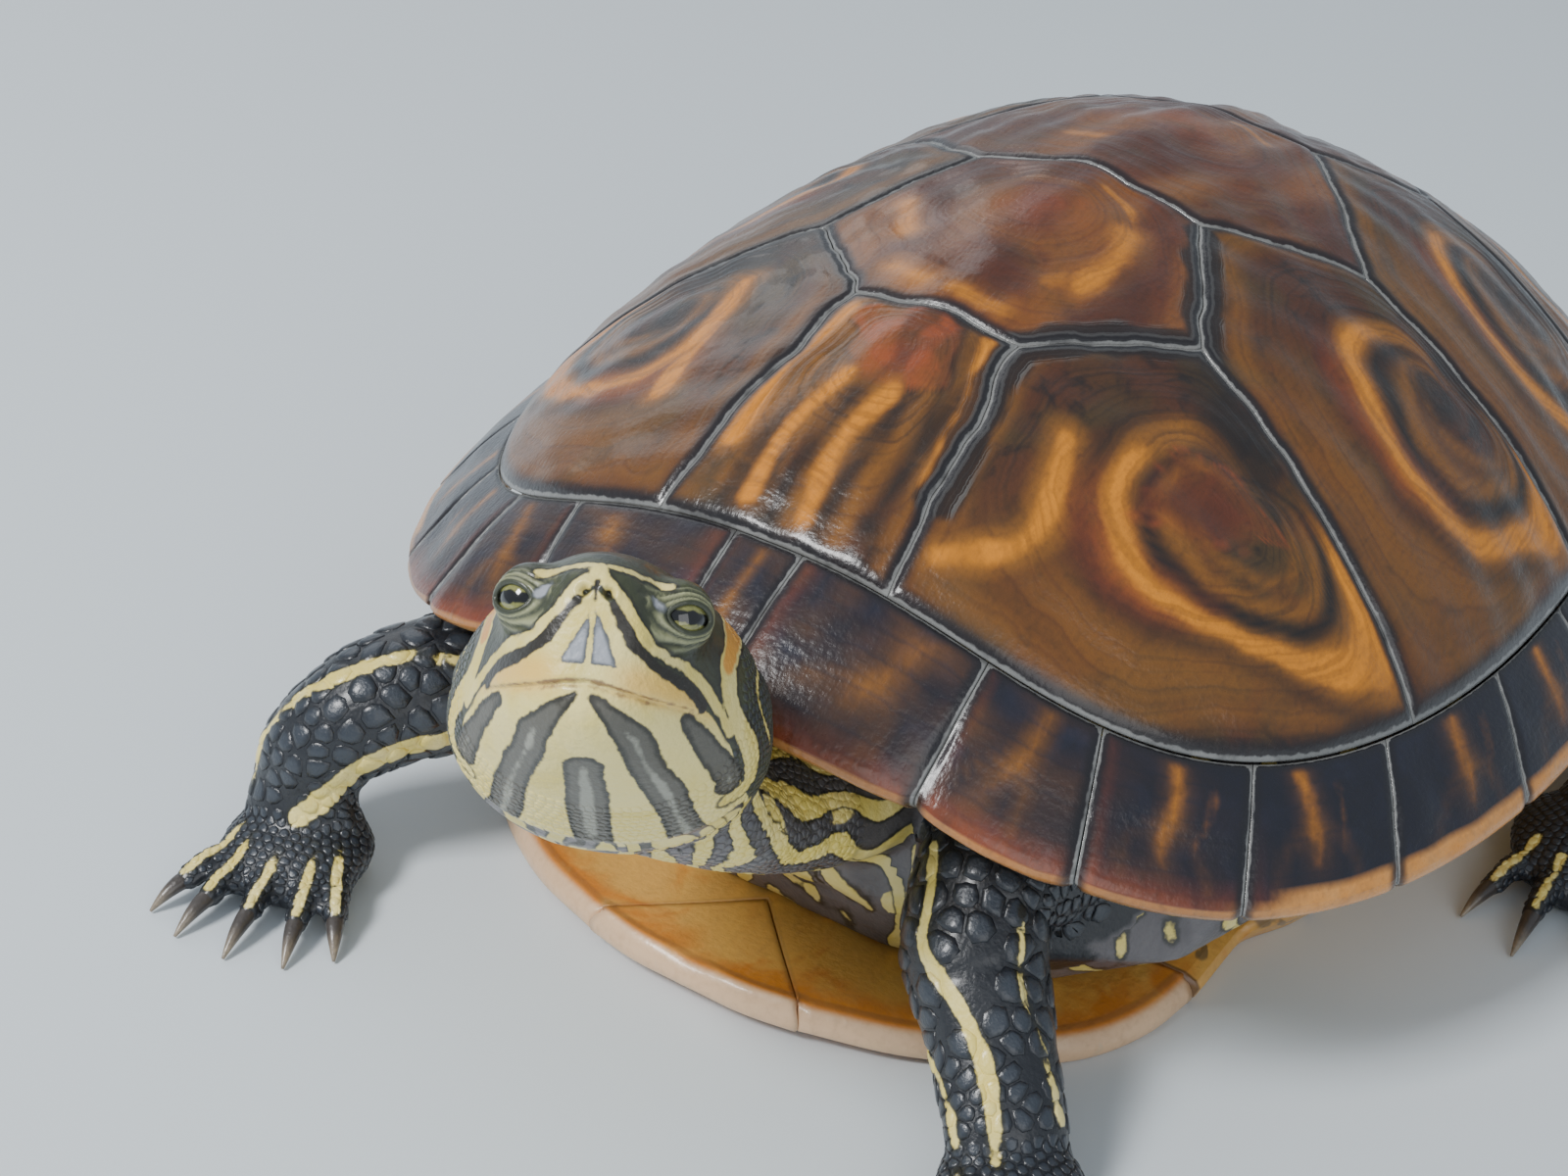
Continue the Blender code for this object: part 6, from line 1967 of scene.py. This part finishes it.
def unwrapped_copy(skin_object):
    """A coarse copy of the skin laid flat: its tree, its triangles' points and their places on the flat."""
    made = linked("flat_skin", skin_object.data.copy())
    reshape(made, "Fewer faces", "DECIMATE", ratio=FLAT_RATIO)
    edit_all(made)
    bpy.ops.mesh.quads_convert_to_tris()
    bpy.ops.uv.smart_project(angle_limit=math.radians(FLAT_ANGLE), island_margin=FLAT_MARGIN)
    deselect()
    points = points_of(made)
    corners = np.array([tuple(face.vertices) for face in made.data.polygons])
    flat = np.array([tuple(loop.uv) for loop in made.data.uv_layers.active.data]).reshape(-1, 3, 2)
    tree = BVHTree.FromPolygons((points * MM).tolist(), corners.tolist())
    bpy.data.objects.remove(made, do_unlink=True)
    return tree, points[corners], flat


def flat_places(places, unwrap):
    """Where each place lies on the flat skin."""
    tree, corners, flat = unwrap
    found = np.array([tuple(tree.find_nearest(Vector(place_ * MM))[k] for k in (0, 2)) for place_ in places],
                     dtype=object)
    spot = np.array([tuple(point) for point in found[:, 0]]) / MM
    a, b, c = (corners[found[:, 1].astype(int)][:, k] for k in range(3))
    normal = np.cross(b - a, c - a)
    size = np.maximum((normal ** 2).sum(1), 1e-12)
    u = (np.cross(c - b, spot - b) * normal).sum(1) / size
    v = (np.cross(a - c, spot - c) * normal).sum(1) / size
    shares = np.clip(np.column_stack((u, v, 1 - u - v)), 0, 1)
    return (flat[found[:, 1].astype(int)] * shares[:, :, None]).sum(1)


PATCH = 0.003


def scale_piece(name, limb, roots, tree, unwrap, height_share, finish):
    points, faces, shares, spin = scale_mesh(roots, tree, height_share)
    made = mesh_piece(name, points, faces, finish, {**marks(points, limb), "out": shares})
    flat = np.repeat(flat_places(roots[:, :3], unwrap), len(points) // len(roots), axis=0)
    flat = np.clip(flat + spin * shares[:, None] * PATCH / 2, 0.001, 0.999)
    loops = np.empty(len(made.data.loops), int)
    made.data.loops.foreach_get("vertex_index", loops)
    made.data.uv_layers.new(name="OFBake").data.foreach_set("uv", flat[loops].ravel())
    return made


# The largest scales, in the middle of the forearm: where they sit, and how far other scales stay off.
FOREARM_PLATES = {
    "foreleg_left": (((34.8, -89.8, 24.4), 3.1), ((39.0, -92.0, 20.6), 3.5)),
    "foreleg_right": (((-47.0, -96.5, 24.5), 3.0), ((-51.5, -100.5, 18.5), 3.2)),
}


# Where the forearm is along the leg; the share of its scales left out; the least space in leg scales.
FOREARM, DROPPED, NEAREST = (0.45, 0.95), 0.45, 0.30


def leg_scale_share(t):
    """A leg's scales are largest half way down it."""
    return 0.75 + 0.5 * math.sin(math.pi * min(t, 0.9))


class MakeScales(Operator):
    """Scales on legs, feet, tail and neck, and fine grains behind the jaws"""
    bl_idname = "turtle.scales"
    bl_label = "Scales"

    def execute(self, context):
        sizes = context.scene.turtle_scales
        leg, foot, neck, head = (value / MM for value in (sizes.leg, sizes.foot, sizes.neck, sizes.head))
        skin_object = bpy.data.objects["striped_skin"]
        finish = striped_skin("Turtle scales", context.scene.turtle_skin, 0.34, 0.10, 2600.0, True)
        tree = BVHTree.FromObject(skin_object, context.evaluated_depsgraph_get())
        unwrap = unwrapped_copy(skin_object)
        draw = random.Random(sizes.seed)

        def grow(name, roots, keep):
            settled = roots.settle(tree, keep)
            scale_piece("scales_" + name, name, settled, tree, unwrap, sizes.height, finish)

        for name in LEG_RINGS:
            roots = Roots(draw)
            roots.add_rows(LIMB_TUBES[name][0], lambda t: leg * leg_scale_share(t), 0.12, 0.97)
            palm, *toes = foot_tubes(name, 0.0)[0]
            roots.add_rows(palm, lambda t: foot, 0.1)
            for toe in toes:
                roots.add_rows(toe, lambda t: foot, 0.25, 0.86, 1.7, 1.2)
            grow(name, roots, lambda places: self.thinned(places, name, leg, draw))
        for name, size, first, last in (("tail", foot, 0.15, 0.97), ("neck", neck, 0.42, 0.93)):
            roots = Roots(draw)
            roots.add_rows(LIMB_TUBES[name][0], lambda t: size, first, last, 1.15, 0.8)
            grow(name, roots, lambda places: nearest_limb(places) == name)
        roots = Roots(draw)
        roots.add_rows(head_tube(0.0), lambda t: head * (1.25 - 0.35 * t), 0.06, 0.46, 1.1, 0.7)
        grow("head", roots, self.on_cheeks)
        return {"FINISHED"}

    def thinned(self, places, name, leg, draw):
        """Fewer, so larger, scales down the outer side of the forearm; none nearer than fits."""
        along, _, gap = round_limb(places, name)
        plates = name.startswith("fore") & (along > FOREARM[0]) & (along < FOREARM[1])
        lucky = np.array([draw.random() for _ in places])
        keep = ~(plates & (lucky < DROPPED))
        near = near_tree(places)
        for k, point in enumerate(places):
            if keep[k]:
                for _, other, _ in near.find_range(point, leg * NEAREST):
                    if other > k:
                        keep[other] = False
        for spot, reach in FOREARM_PLATES.get(name, ()):
            gap = lengths(places - spot)
            keep[gap < reach] = False
            keep[gap.argmin()] = True
        return keep

    def on_cheeks(self, places):
        """Grains lie behind the eyes and mouth, and not on the smooth crown."""
        local = in_head(places)
        return (local[:, 0] < 3.5 - 0.25 * np.maximum(local[:, 2] + 4, 0)) & (local[:, 2] < 7.5) & (
            nearest_limb(places) == "head")


# Each softbox's size and place in metres, and the place that they are turned to.
LIGHTS = {
    "key": (0.30, (-0.35, -0.75, 0.85)),
    "fill": (0.9, (0.95, -0.75, 0.55)),
    "back": (0.8, (-0.9, 0.5, 0.7)),
}
LIT, AIR = (0.0, 0.0, 0.04), (0.80, 0.90, 1.0)
CAMERA_PLACE = (116.05, -273.01, 185.74)
CAMERA_TURN, CAMERA_TILT, CAMERA_ROLL, SENSOR = 30.876, 31.136, 4.578, 36.0


class MakeStage(Operator):
    """Floor, soft studio light and camera"""
    bl_idname = "turtle.stage"
    bl_label = "Stage"

    def execute(self, context):
        stage = context.scene.turtle_stage
        deselect()
        bpy.ops.mesh.primitive_plane_add(size=stage.floor_size, location=(0.0, 0.0, 0.0))
        floor = context.object
        floor.name = "stage_floor"
        material, p = start_finish("Studio floor", 0.55, specular=0.3)
        p.colour = p.mix(p.cloud(300.0, 2.0), stage.floor, dimmed(stage.floor, 0.96))
        p.finish()
        floor.data.materials.append(material)
        self.lights(context, stage)
        self.camera(context, stage)
        return {"FINISHED"}

    def lights(self, context, stage):
        powers = {"key": stage.key, "fill": stage.fill, "back": stage.fill * 0.5}
        for name, (size, spot) in LIGHTS.items():
            bpy.ops.object.light_add(type="AREA", location=spot)
            lamp = context.object
            lamp.name = "studio_" + name
            lamp.data.energy, lamp.data.size = powers[name], size
            aim = Vector(LIT) - Vector(spot)
            lamp.rotation_euler = aim.to_track_quat("-Z", "Y").to_euler()
        world = bpy.data.worlds.new("Studio air")
        context.scene.world = world
        world.use_nodes = True
        background = world.node_tree.nodes["Background"]
        background.inputs["Color"].default_value = (*AIR, 1.0)
        background.inputs["Strength"].default_value = stage.sky

    def camera(self, context, stage):
        bpy.ops.object.camera_add()
        camera = context.object
        camera.name = "studio_camera"
        turn, tilt, roll = (math.radians(a) for a in (CAMERA_TURN, CAMERA_TILT, CAMERA_ROLL))
        back = Vector((math.sin(turn) * math.cos(tilt), -math.cos(turn) * math.cos(tilt), math.sin(tilt)))
        right = Vector((math.cos(turn), math.sin(turn), 0.0))
        up = back.cross(right)
        rolled = math.cos(roll) * right + math.sin(roll) * up
        upright = math.cos(roll) * up - math.sin(roll) * right
        matrix = Matrix((rolled, upright, back)).transposed().to_4x4()
        matrix.translation = Vector(CAMERA_PLACE) * MM
        camera.matrix_world = matrix
        camera.data.lens = stage.lens / MM
        camera.data.sensor_width = SENSOR
        camera.data.clip_start = 0.01
        context.scene.camera = camera


class TurtlePanel(Panel):
    """Lists the model's pieces and their settings"""
    bl_idname = "VIEW3D_PT_turtle"
    bl_label = "Slider turtle"
    bl_space_type = "VIEW_3D"
    bl_region_type = "UI"
    bl_category = "Turtle"

    def draw(self, context):
        for group, made in SETTINGS.items():
            box = self.layout.box()
            for name in made.__annotations__:
                box.prop(getattr(context.scene, group), name)
        for piece in PIECES:
            self.layout.operator(piece.bl_idname)


PIECES = (MakeCarapace, MakeMarginals, MakePlastron, MakeSkin, MakeScales, MakeEyes, MakeClaws,
          MakeStage)


def register():
    for made in (*SETTINGS.values(), *PIECES, TurtlePanel):
        bpy.utils.register_class(made)
    for name, made in SETTINGS.items():
        setattr(bpy.types.Scene, name, PointerProperty(type=made))


def unregister():
    for name in SETTINGS:
        delattr(bpy.types.Scene, name)
    for made in reversed((*SETTINGS.values(), *PIECES, TurtlePanel)):
        bpy.utils.unregister_class(made)


def main():
    register()
    for piece in PIECES:
        group, name = piece.bl_idname.split(".")
        getattr(getattr(bpy.ops, group), name)()


if __name__ == "__main__":
    main()
